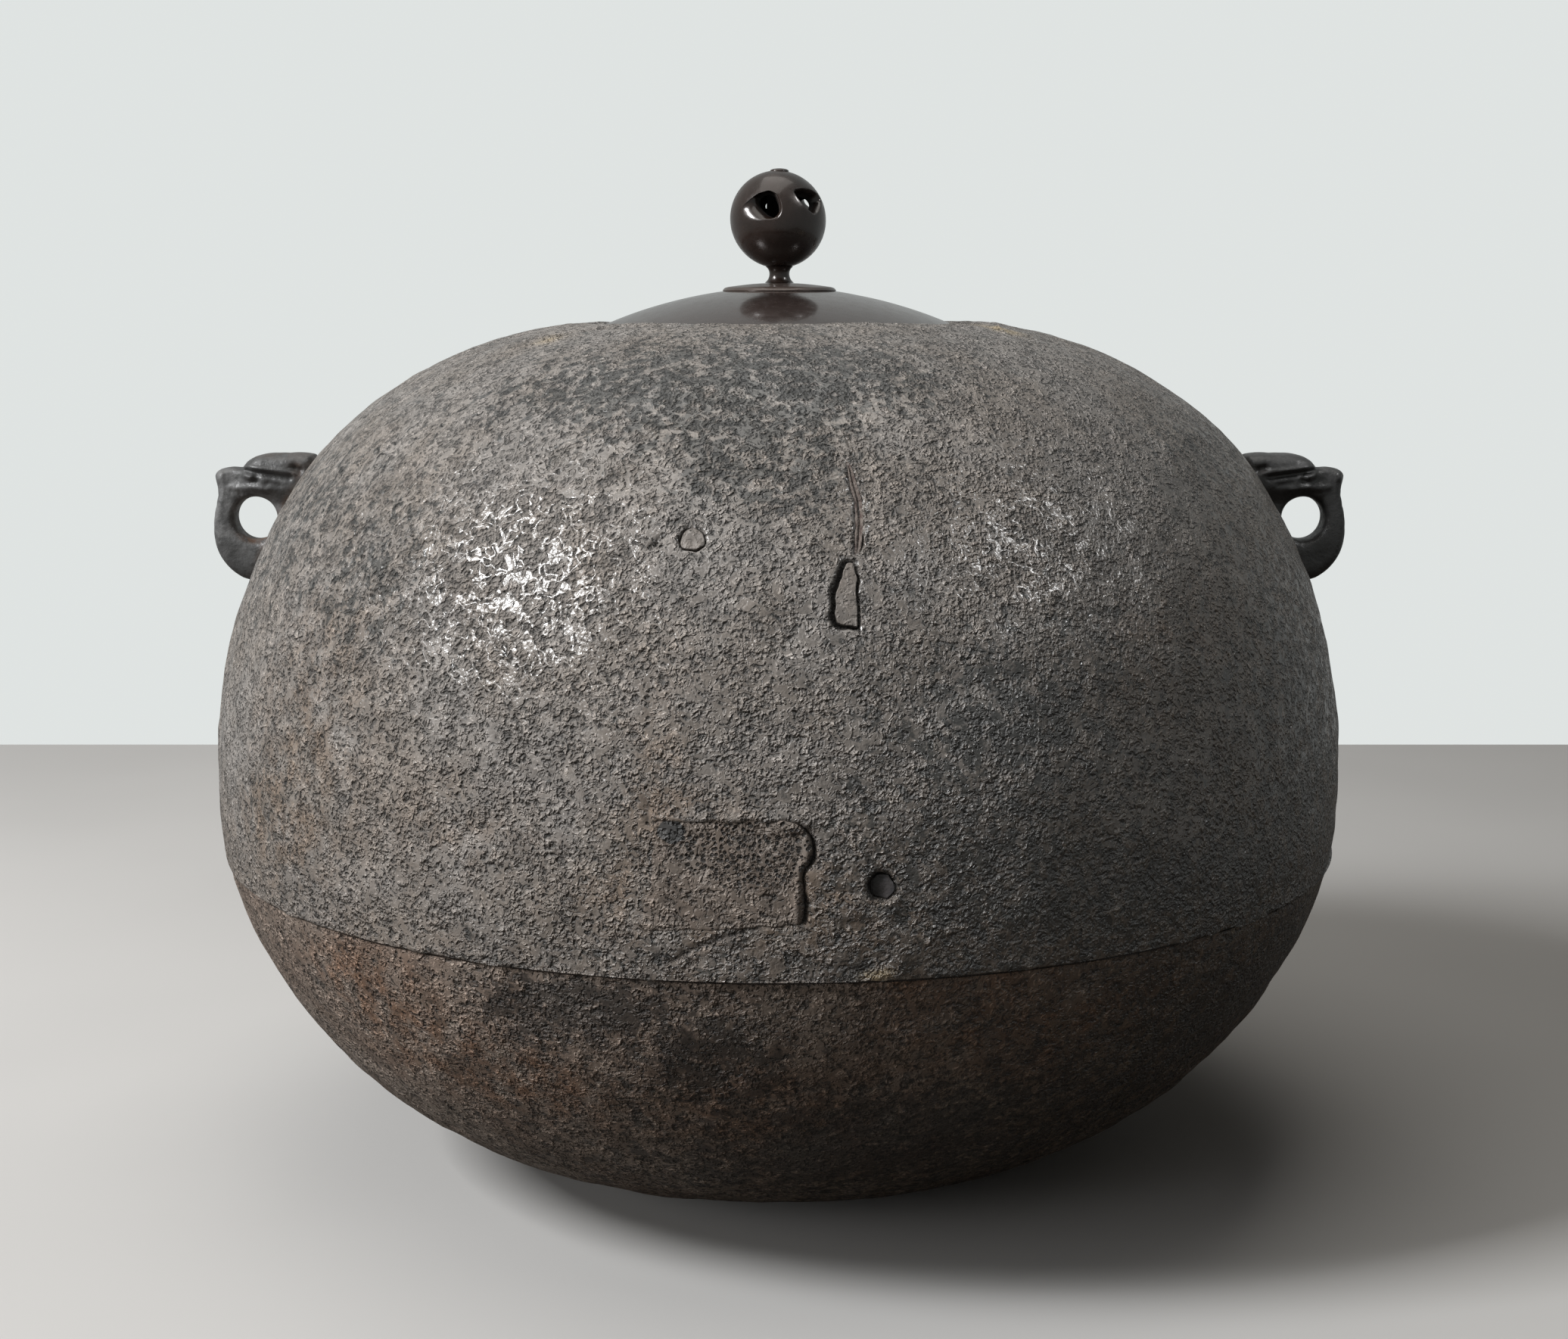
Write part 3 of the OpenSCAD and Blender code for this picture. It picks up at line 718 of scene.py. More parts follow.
@dataclass(frozen=True)
class KettleForm:
    """Sizes and curves that the kettle's pieces share.

    Names that end in _r are radii, those in _z and _top are heights above the foot, and those in _t are thicknesses.
    """

    body_r: float = 127.38
    belly_z: float = 84.5
    crest_z: float = 189.0
    crest_r: float = 49.0
    shoulder_breadth: float = 3.13
    shoulder_fullness: float = 2.09
    wall: float = 3.6
    seam_z: float = 72.8
    seam_r: float = 126.3
    lap_r: float = 122.6
    lap_top: float = 79.8
    pan_r: float = 125.5
    pan_top: float = 72.0
    tongue_r: float = 122.2
    tongue_t: float = 3.2
    foot_r: float = 38.0
    floor_r: float = 36.0
    pan_wall: float = 4.0
    bowl_breadth: float = 3.15
    bowl_fullness: float = 1.38
    mouth_r: float = 40.0
    recess_r: float = 45.1
    collar_r: float = 50.1
    seat_z: float = 183.1
    ledge_t: float = 3.0
    crest_roll: float = 2.6

    def shoulder(self, grow: float, end_r: float) -> tuple[Array, Array]:
        """Upper half of the body: r = R cos(a)^(2/breadth), z = belly + H sin(a)^(2/fullness).

        Args:
            grow: How far the skin is moved outward.
            end_r: Radius at which it ends.

        Returns:
            Radii and heights.
        """
        rise = (self.crest_z - self.belly_z) / (
            1 - (self.crest_r / self.body_r) ** self.shoulder_breadth) ** (1 / self.shoulder_fullness)
        last = math.acos((end_r / (self.body_r + grow)) ** (self.shoulder_breadth / 2))
        a = np.linspace(0.0, last, CURVE_POINTS)
        return ((self.body_r + grow) * np.cos(a) ** (2 / self.shoulder_breadth),
                self.belly_z + (rise + grow) * np.sin(a) ** (2 / self.shoulder_fullness))

    def belly(self, grow: float, low_z: float) -> tuple[Array, Array]:
        """Short lower part of the body: the radius falls off with the square of the drop below the widest level."""
        z = np.linspace(low_z, self.belly_z, BELLY_POINTS, endpoint=False)
        drop = (self.belly_z - z) / (self.belly_z - self.seam_z)
        return self.body_r + grow - (self.body_r - self.seam_r) * drop ** 2, z

    def outer(self) -> tuple[Array, Array, Array]:
        """Body's outer curve from seam to crest.

        Returns:
            Radii, heights and lengths along the curve.
        """
        low, high = self.belly(0.0, self.seam_z), self.shoulder(0.0, self.crest_r)
        r, z = np.concatenate([low[0], high[0]]), np.concatenate([low[1], high[1]])
        return r, z, run_length(r, z)

    def bowl(self, rim_r: float, top_z: float, end_r: float, end_z: float) -> tuple[Array, Array]:
        """Bowl below the seam: r = R cos(a)^(2/breadth), z = top - D sin(a)^(2/fullness).

        Args:
            rim_r: Radius at the rim.
            top_z: Height of the rim.
            end_r: Radius of the flat.
            end_z: Height of the flat.

        Returns:
            Radii and heights, from the rim down.
        """
        depth = (top_z - end_z) / (1 - (end_r / rim_r) ** self.bowl_breadth) ** (1 / self.bowl_fullness)
        a = np.linspace(0.0, math.acos((end_r / rim_r) ** (self.bowl_breadth / 2)), CURVE_POINTS)
        return rim_r * np.cos(a) ** (2 / self.bowl_breadth), top_z - depth * np.sin(a) ** (2 / self.bowl_fullness)

    def surface_r(self, z: Array) -> Array:
        """Radius of the body's outer surface at a height."""
        r, heights, _ = self.outer()
        return np.interp(z, heights, r)

    def chart(self, azimuth: Array, z: Array) -> Array:
        """Flat coordinates on the body's surface: length round it and length up along it.

        Args:
            azimuth: Azimuths in degrees.
            z: Heights.

        Returns:
            Points (across, up), (..., 2).
        """
        r, heights, length = self.outer()
        azimuth, z = np.asarray(azimuth, float), np.asarray(z, float)
        return np.stack([np.radians(azimuth) * np.interp(z, heights, r), np.interp(z, heights, length)], -1)

    def on_surface(self, flat: Array, height: Array | float = 0.0) -> Array:
        """Points above flat coordinates of the body's surface.

        The curve's slope gives the outward normal, and the point is moved along it by height.

        Args:
            flat: Points (across, up), (..., 2).
            height: Distance outward from the surface.

        Returns:
            Points in space, (..., 3).
        """
        r, z, length = self.outer()
        at_r, at_z = np.interp(flat[..., 1], length, r), np.interp(flat[..., 1], length, z)
        out_r = np.interp(flat[..., 1], length, np.gradient(z, length))
        out_z = -np.interp(flat[..., 1], length, np.gradient(r, length))
        return turned(at_r + height * out_r, at_z + height * out_z, flat[..., 0] / at_r)


FORM = KettleForm()

ROUGH_SKIN = (Lumps(70.0, 0.55, 1), Lumps(24.0, 0.32, 2), Lumps(10.0, 0.20, 3), Lumps(5.6, 0.15, 4),
              Lumps(3.6, 0.09, 5))


def rough_skin(points: Array) -> Array:
    """Height of the casting's uneven skin: lumps of five sizes added up, set so that most of it lies below 0."""
    return sum(lumps.at(points) for lumps in ROUGH_SKIN) - 0.5


@dataclass(frozen=True)
class Bloom:
    """Soft patch of rust, soot, wear or painted shade on the kettle.

    Attributes:
        azimuth: Azimuth of its middle.
        z: Height of its middle.
        across: Half width.
        up: Half height.
        strength: Value at the middle.
    """

    azimuth: float
    z: float
    across: float
    up: float
    strength: float = 1.0

    def at(self, azimuth: Array, r: Array, z: Array) -> Array:
        """Bell-shaped value of the patch at azimuths in radians, radii and heights."""
        turn = np.angle(np.exp(1j * (azimuth - math.radians(self.azimuth))))
        return self.strength * bell(turn * r, self.across) * bell(z - self.z, self.up)


# Soot patches; the broad low patch at azimuth 36 also darkens the lower right, which faces away from the lamps:
# painted shade there.
BODY_SOOT_AND_SHADE = [Bloom(-19, 176, 34, 9), Bloom(-3, 167, 16, 8), Bloom(1, 160, 12, 6), Bloom(21, 119, 32, 20),
             Bloom(13, 93, 20, 12, 0.8), Bloom(-42, 139, 16, 20, 0.7), Bloom(-56, 95, 14, 14, 0.6),
             Bloom(7, 179, 30, 7), Bloom(150, 130, 40, 24), Bloom(-130, 160, 36, 12), Bloom(95, 110, 30, 18, 0.8),
             Bloom(-165, 95, 30, 12, 0.8), Bloom(60, 165, 26, 10, 0.5), Bloom(36, 82, 50, 15),
             Bloom(60, 112, 34, 38), Bloom(-64, 150, 34, 26, 0.7)]
BODY_RUST = [Bloom(-48, 113, 18, 26), Bloom(-53, 90, 18, 12), Bloom(-10, 113, 6, 15, 0.8), Bloom(34, 124, 13, 9, 0.9),
             Bloom(40, 131, 12, 8, 0.7), Bloom(-28, 97, 18, 10, 0.6), Bloom(24, 77, 30, 4, 0.6), Bloom(-8, 104, 7, 3),
             Bloom(-12, 86, 12, 6, 0.6), Bloom(-3, 90, 26, 13), Bloom(170, 100, 30, 20), Bloom(110, 140, 24, 20, 0.8),
             Bloom(-120, 105, 24, 24, 0.8), Bloom(75, 90, 26, 10, 0.7), Bloom(58, 108, 34, 44),
             Bloom(8, 84, 22, 8, 0.8)]
BODY_WORN = [Bloom(57.5, 187.6, 3.2, 1.0), Bloom(7.8, 73.4, 2.2, 1.0), Bloom(8.8, 74.2, 1.4, 0.7),
             Bloom(-51, 186.0, 3.0, 0.8, 0.8)]
PAN_RUST = [Bloom(-36, 51, 24, 12), Bloom(-42, 64, 18, 8), Bloom(-2, 42, 24, 10), Bloom(25, 60, 34, 12),
            Bloom(14, 73, 18, 4), Bloom(-24, 46, 16, 9), Bloom(120, 50, 40, 16), Bloom(-150, 46, 40, 16),
            Bloom(180, 60, 30, 12, 0.7), Bloom(70, 40, 30, 12, 0.8)]
PAN_SOOT = [Bloom(-15, 66, 14, 6), Bloom(-5, 56, 12, 9), Bloom(-22, 63, 12, 6), Bloom(9, 37, 18, 9),
            Bloom(60, 55, 20, 14), Bloom(8, 28, 60, 20, 0.7), Bloom(44, 50, 44, 26, 0.7), Bloom(-80, 45, 30, 14),
            Bloom(150, 35, 30, 12), Bloom(-110, 60, 24, 9)]


def blooms(patches: list[Bloom], azimuth: Array, r: Array, z: Array) -> Array:
    """Sum of soft patches, at most 1."""
    return np.clip(sum(patch.at(azimuth, r, z) for patch in patches), 0.0, 1.0)


@dataclass(frozen=True)
class Marks:
    """Outlines of the repairs and scars on the kettle's front, as azimuths and heights.

    Attributes:
        panel: Corners of the square repair.
        panel_bed: Corners of the pocket that it lies in.
        panel_weld: The panel's left and lower edge, which runs smoothly into the wall.
        panel_top: Its upper edge, which lies close against the wall.
        wedge: Corners of the wedge repair.
        wedge_bed: Corners of its pocket.
        crack_left: Left edge of the filled crack, from the top.
        crack_right: Right edge of the filled crack, from the top.
        ridges: Raised lines: paths with their width and rise.
        splits: Open cracks: paths with their width and depth.
        slab: Corners of a low raised field between the square repair and the sunk casting pin.
        bare: Smooth grey spots on the square repair.
        plug: Azimuth, height and radius of the flush casting pin.
        pin: Azimuth, height and radius of the sunk casting pin.
    """

    panel: tuple = ((-10.2, 102.3), (0.8, 102.7), (2.3, 101.4), (2.75, 99.4), (2.85, 97.0), (2.6, 94.8), (2.1, 93.2),
                    (2.05, 89.0), (1.95, 84.0), (-2.4, 82.9), (-11.4, 82.0), (-10.3, 91.0))
    panel_bed: tuple = ((-9.8, 101.9), (0.9, 102.2), (2.4, 101.4), (2.9, 99.5), (3.2, 97.6), (3.0, 95.2), (2.2, 92.9),
                        (2.2, 89.8), (2.5, 87.0), (2.35, 84.2), (-2.4, 83.5), (-10.8, 82.8), (-9.9, 91.0))
    panel_weld: tuple = ((-10.2, 101.7), (-10.3, 91.0), (-11.4, 82.0), (-2.4, 82.9), (0.6, 83.5))
    panel_top: tuple = ((-10.2, 102.3), (-5.0, 102.4), (1.2, 102.7))
    wedge: tuple = ((6.62, 147.3), (6.3, 147.0), (5.75, 144.5), (5.2, 141.4), (4.92, 138.7), (5.15, 136.9),
                    (5.9, 136.3),
                    (7.0, 136.05), (7.12, 141.6), (7.15, 147.0))
    wedge_bed: tuple = ((6.7, 147.9), (5.95, 147.4), (5.3, 144.6), (4.75, 141.2), (4.5, 138.4), (4.8, 136.5),
                        (5.8, 135.8),
                        (7.2, 135.55), (7.32, 141.6), (7.35, 147.3))
    crack_left: tuple = ((7.25, 165.0), (7.3, 163.4), (7.25, 160.8), (7.5, 157.9), (7.35, 154.3), (7.0, 148.6))
    crack_right: tuple = ((7.45, 165.0), (7.85, 163.4), (8.15, 160.8), (8.45, 158.0), (8.4, 154.6), (7.75, 148.9))
    ridges: tuple = ((((3.1, 101.9), (4.3, 99.0), (4.6, 96.6), (4.2, 94.0), (3.3, 92.4), (3.2, 88.6),
                       (3.1, 84.4)), 0.9, 0.12),
                     (((-10.0, 102.6), (-4.0, 103.0), (0.9, 103.3), (2.6, 102.4)), 0.9, 0.42),
                     (((7.5, 169.5), (7.5, 166.0), (8.05, 163.4), (8.6, 158.6), (8.6, 154.8),
                       (8.1, 150.2)), 0.55, 0.4),
                     (((-3.0, 81.3), (-4.6, 80.1), (-6.4, 78.5), (-8.2, 76.3), (-9.4, 75.0)), 0.9, 0.3),
                     (((10.0, 91.6), (10.3, 90.0), (9.8, 88.6)), 0.6, 0.3),
                     (((-55.0, 184.2), (-51.0, 185.6), (-46.0, 187.0)), 1.0, 0.4),
                     (((55.2, 187.2), (59.6, 188.0)), 1.0, 0.5))
    splits: tuple = ((((-1.6, 83.0), (-2.6, 82.7), (-4.0, 81.6), (-5.9, 79.9), (-7.8, 77.9),
                     (-9.3, 75.9)), 0.42, 0.9),
                     (((-10.9, 151.4), (-11.4, 150.6), (-12.2, 149.2)), 0.4, 0.8),
                     (((-54.5, 185.2), (-52.0, 186.3), (-49.5, 187.0), (-47.0, 187.8), (-44.0, 188.2)), 1.0, 1.7),
                     (((-10.6, 105.6), (-10.9, 103.4), (-10.6, 101.6)), 0.4, 0.6),
                     (((4.0, 90.3), (5.2, 90.2), (6.4, 89.7)), 0.3, 0.4),
                     (((-10.3, 100.0), (-10.5, 96.0), (-10.6, 93.0)), 0.3, 0.3),
                     (((-13.2, 91.0), (-13.8, 88.6)), 0.4, 0.5),
                     (((5.8, 75.5), (7.0, 74.9)), 0.7, 0.6),
                     (((-79.0, 111.0), (-78.0, 109.0)), 0.8, 0.8))
    slab: tuple = ((3.9, 89.0), (9.8, 88.2), (9.6, 84.6), (4.0, 84.8))
    bare: tuple = ((-8.7, 100.4),)
    plug: tuple = (-8.2, 151.0, 2.45)
    pin: tuple = (8.35, 90.2, 2.5)

    def bare_spots(self) -> Array:
        """Flat coordinates of the smooth grey spots."""
        return FORM.chart(*np.array(self.bare).T)


MARKS = Marks()


@dataclass
class CastBody:
    """Upper casting of the kettle: shoulder, sunken mouth, inner wall and lower edge, with all its scars.

    Attributes:
        rows: Points up the outside.
        columns: Points round it.
        roll_rows: Points over the rolled crest.
        most: How far the rough skin may stand above the plain one.
        fine_heights: Heights between which rows lie closer: from, to and how many times.
        fine_azimuths: Azimuths between which columns lie closer, likewise.
        scarred: Azimuth to either side up to which the scars lie.
    """

    rows: int = 186
    columns: int = 430
    roll_rows: int = 8
    most: float = 0.15
    fine_heights: tuple = ((73.0, 104.0, 2.7), (134.0, 167.0, 2.9), (184.0, 188.6, 1.7))
    fine_azimuths: tuple = ((-13.0, 10.5, 4.6),)
    scarred: float = 85.0

    def section(self) -> tuple[Array, Array]:
        """Closed section of the casting.

        The outer curve is followed by the rolled crest, the lid's recess and ledge, the underside, the inner wall
        and the lap over the pan's tongue.

        Returns:
            Points (radius, height) in order, and a weight that says how rough the skin is there.
        """
        r, z, length = FORM.outer()
        fine = [(np.interp(a, z, length), np.interp(b, z, length), k) for a, b, k in self.fine_heights]
        at = spaced(0.0, length[-1], self.rows, fine)
        outer = points_at(at, length, r, z)
        a = np.linspace(0.0, math.pi / 2, self.roll_rows + 1)[1:]
        roll = np.stack([FORM.recess_r + (FORM.crest_r - FORM.recess_r) * (1 - np.sin(a)),
                         FORM.crest_z - FORM.crest_roll * (1 - np.cos(a))], -1)
        low = FORM.seat_z - FORM.ledge_t
        mouth = np.array([[FORM.recess_r, 184.6], [FORM.recess_r, 183.3], [FORM.recess_r - 0.2, FORM.seat_z],
                          [43.0, FORM.seat_z], [40.4, FORM.seat_z], [FORM.mouth_r, 182.7], [FORM.mouth_r, low + 0.4],
                          [40.4, low], [45.0, low], [FORM.collar_r, low]])
        inner_r, inner_z = (np.concatenate(pair) for pair in zip(
            FORM.belly(-FORM.wall, FORM.lap_top), FORM.shoulder(-FORM.wall, FORM.collar_r + FORM.wall)))
        inner = even_curve(inner_r, inner_z, 20, back=True)
        lap = np.array([[FORM.lap_r, FORM.lap_top], [FORM.lap_r, 76.3], [FORM.lap_r, FORM.seam_z],
                        [124.6, FORM.seam_z - 0.2], [125.9, FORM.seam_z - 0.1]])
        section = np.vstack([outer, roll, mouth, inner, lap])
        weight = np.concatenate([np.ones(len(outer)), np.linspace(0.8, 0.25, len(roll)), np.zeros(len(mouth)),
                                 np.full(len(inner), 0.5), np.zeros(len(lap))])
        weight[len(outer) + len(roll) + len(mouth)] = 0.0
        weight[-len(lap) - 1] = 0.0
        return section, weight

    def relief(self, azimuth: Array, z: Array) -> tuple[Array, Array]:
        """Repairs' pockets, scars and lips on the outside.

        A pocket falls by its depth over a short step at its outline, a split is a bell-shaped trough along its path,
        and a lip is a bell-shaped ridge.

        Args:
            azimuth: Azimuths in degrees, (rows, columns).
            z: Heights, (rows, columns).

        Returns:
            Height added to the skin, and how much each point lies in a groove, from 0 to 1, which the colour turns
            into painted shade.
        """
        flat = self.ragged(FORM.chart(azimuth, z))
        u, v = flat[..., 0], flat[..., 1]
        near = np.abs(azimuth) < self.scarred
        height, groove = np.zeros(u.shape), np.zeros(u.shape)

        def sink(away: Array, depth: float, step: float = 0.35, brim_shade: float = 0.0) -> None:
            """Lowers what lies inside an outline and darkens its brim with painted shade."""
            share = np.where(near, smooth(step, -step, away), 0.0)
            np.minimum(height, -depth * share, out=height)
            np.maximum(groove, np.where(near, smooth(step + brim_shade, brim_shade - step, away), 0.0), out=groove)

        sink(edge_distance(u, v, self.flat(MARKS.panel_bed)), depth=1.2, brim_shade=0.05)
        weld = np.minimum(*(path_distance(u, v, self.flat(path)) for path in (MARKS.panel_weld, MARKS.panel_top)))
        groove *= smooth(0.8, 2.2, weld)
        sink(edge_distance(u, v, self.flat(MARKS.wedge_bed)), depth=1.5, step=0.3, brim_shade=0.08)
        crack = self.flat(MARKS.crack_left + MARKS.crack_right[::-1])
        sink(edge_distance(u, v, crack), depth=1.1, step=0.3)
        for azimuth_0, z_0, radius in (MARKS.plug, MARKS.pin):
            middle = FORM.chart(azimuth_0, z_0)
            sink(np.hypot(u - middle[0], v - middle[1]) - radius, depth=1.8, step=0.3)
        # Splits are cut and marked to go dark: painted shade in them.
        for path, width, depth in MARKS.splits:
            away = path_distance(u, v, self.flat(path))
            cut = np.where(near, bell(away, width), 0.0)
            height -= depth * cut
            np.maximum(groove, 0.85 * cut, out=groove)
        for path, width, rise in MARKS.ridges:
            away = path_distance(u, v, self.flat(path))
            height += np.where(near & (groove < 0.1), rise * bell(away, width), 0.0)
        slab = edge_distance(u, v, self.flat(MARKS.slab))
        height += np.where(near, 0.3 * smooth(0.4, -0.4, slab), 0.0)
        return height, groove

    @staticmethod
    def ragged(flat: Array) -> Array:
        """Flat points shifted by small lumps, which makes an outline ragged."""
        place = FORM.on_surface(flat)
        return flat + np.stack([Lumps(3.4, 0.32, seed).at(place) + Lumps(1.5, 0.20, seed + 2).at(place)
                                for seed in (25, 26)], -1)

    @staticmethod
    def flat(marks: tuple) -> Array:
        """Flat coordinates of an outline given as azimuths and heights."""
        corners = np.array(marks, float)
        return FORM.chart(corners[:, 0], corners[:, 1])

    def build(self) -> None:
        """Turns the section round the axis, roughens it and cuts the scars."""
        section, weight = self.section()
        r, z, rows = section[:, :1], section[:, 1:], self.rows
        out_r, out_z = outward(section)
        azimuth = spaced(-180.0, 180.0, self.columns + 1, self.fine_azimuths)[None, :-1]
        turn = np.radians(azimuth)
        grid = turned(r, z, turn)
        row = np.arange(len(section))[:, None]
        height = np.minimum(rough_skin(grid) * weight[:, None], np.where(row < rows, self.most, 0.0))
        cuts, groove = self.relief(*np.broadcast_arrays(azimuth, z[:rows]))
        calm = 1.0 - smooth(0.1, 0.6, groove)
        height[:rows] = height[:rows] * (0.25 + 0.75 * calm) + cuts
        lip = bell(z[:rows] - FORM.seam_z - 0.9, 0.9)
        height[:rows] += lip * (0.10 + 0.12 * np.cos(turn + 0.9))
        edge = smooth(FORM.seam_z + 2.5, FORM.seam_z, z[:rows]) * (
            Lumps(7.0, 0.5, 9).at(grid[:rows]) + Lumps(3.0, 0.35, 10).at(grid[:rows]))
        new_r, new_z = np.minimum(r + height * out_r, FORM.body_r), z + height * out_z
        new_z[:rows] += np.minimum(edge, 0.25)
        rust, soot, worn = (blooms(patches, turn, r, z) for patches in (BODY_RUST, BODY_SOOT_AND_SHADE, BODY_WORN))
        # Rusty, sooty band just above the seam, made darker towards the right side, which faces away from the lamps:
        # rust and soot, with painted shade on the right.
        seam_rust_and_shade = smooth(FORM.seam_z + 13.0, FORM.seam_z + 1.0, z) * (0.6 + 0.5 * np.sin(turn))
        rust, soot = np.maximum(rust, 0.9 * seam_rust_and_shade), np.maximum(soot, 0.9 * seam_rust_and_shade)
        inside = row >= rows + self.roll_rows
        groove = np.vstack([groove, np.zeros((len(section) - rows, self.columns))])
        skin = Skin().sheet(turned(new_r, new_z, turn), ring=True, loop=True, rust=np.where(inside, 0.8, rust),
                            soot=soot, groove=groove, worn=np.where(inside, 0.0, worn), holes=NO_MARK)
        place_piece(skin.to_object("cast_body", sharp=75.0), "kettle", ["kettle_body"], BODY_IRON)


@dataclass
class BottomPan:
    """Renewed bottom: a bowl with a tongue inside the body, and the cement in the seam.

    Attributes:
        columns: Points round it.
    """

    columns: int = 360

    def build(self) -> None:
        """Turns the bowl's closed section round the axis, roughens its outside, and adds the cement."""
        outer = even_curve(*FORM.bowl(FORM.pan_r, FORM.pan_top, FORM.foot_r, 0.0), 110, back=True)
        outer[:, 1] += 0.4 * smooth(FORM.pan_top - 2.0, FORM.pan_top, outer[:, 1])
        outer[:, 0] += 0.3 * smooth(FORM.pan_top - 5.0, FORM.pan_top, outer[:, 1])
        foot = np.array([[3.0, 0.0], [12.0, 0.0], [24.0, 0.0], [33.0, 0.0]])
        tongue_in = FORM.tongue_r - FORM.tongue_t
        tongue = np.array([[124.9, FORM.pan_top + 0.4], [FORM.tongue_r, FORM.pan_top + 0.4],
                           [FORM.tongue_r, FORM.lap_top], [tongue_in, FORM.lap_top]])
        inner = even_curve(*FORM.bowl(tongue_in, FORM.pan_top, FORM.floor_r, FORM.pan_wall), 40)
        floor = np.array([[24.0, FORM.pan_wall], [12.0, FORM.pan_wall], [3.0, FORM.pan_wall]])
        section = np.vstack([foot, outer, tongue, inner, floor])
        weight = np.concatenate([np.zeros(len(foot)), smooth(0.0, 6.0, outer[:, 1]), np.zeros(len(tongue)),
                                 np.full(len(inner), 0.4), np.zeros(len(floor))])
        weight[len(foot) + len(outer) + len(tongue)] = 0.0
        r, z, turn = section[:, :1], section[:, 1:], full_turn(self.columns)
        out_r, out_z = outward(section)
        height = np.minimum(rough_skin(lathe(section, self.columns)), 0.1) * weight[:, None]
        new_r, new_z = r + height * out_r, z + height * out_z
        rust, soot = (blooms(patches, turn, r, z) for patches in (PAN_RUST, PAN_SOOT))
        inside = np.arange(len(section))[:, None] >= len(foot) + len(outer)
        skin = Skin().sheet(turned(new_r, np.maximum(new_z, 0.0), turn), ring=True, tips=(True, True),
                            rust=np.where(inside, 0.8, rust), soot=soot, groove=NO_MARK, holes=NO_MARK)
        place_piece(skin.to_object("bottom_pan_iron"), "kettle", ["bottom_pan"], PAN_IRON)
        self.cement()

    def cement(self) -> None:
        """Ring of cement behind the tongue, with an uneven bead under the body's edge."""
        section = np.array([[FORM.tongue_r + 0.02, FORM.pan_top + 0.02], [124.6, FORM.pan_top + 0.1], [125.5, 72.3],
                            [125.4, 72.75], [FORM.lap_r - 0.02, FORM.seam_z - 0.02],
                            [FORM.lap_r - 0.02, FORM.lap_top], [FORM.tongue_r + 0.02, FORM.lap_top]])
        columns = 240
        bead = np.array([0.0, 0.0, 0.3, 0.3, 0.0, 0.0, 0.0])[:, None]
        swell = bead * Lumps(8.0, 1.0, 12).at(lathe(section, columns))
        grid = turned(section[:, :1] + swell, section[:, 1:], full_turn(columns))
        skin = Skin().sheet(grid, ring=True, loop=True, groove=NO_MARK)
        place_piece(skin.to_object("seam_filling"), "kettle", ["seam_cement"], CEMENT)


class Side(Enum):
    """Which of the two lugs."""

    LEFT = -1.0
    RIGHT = 1.0


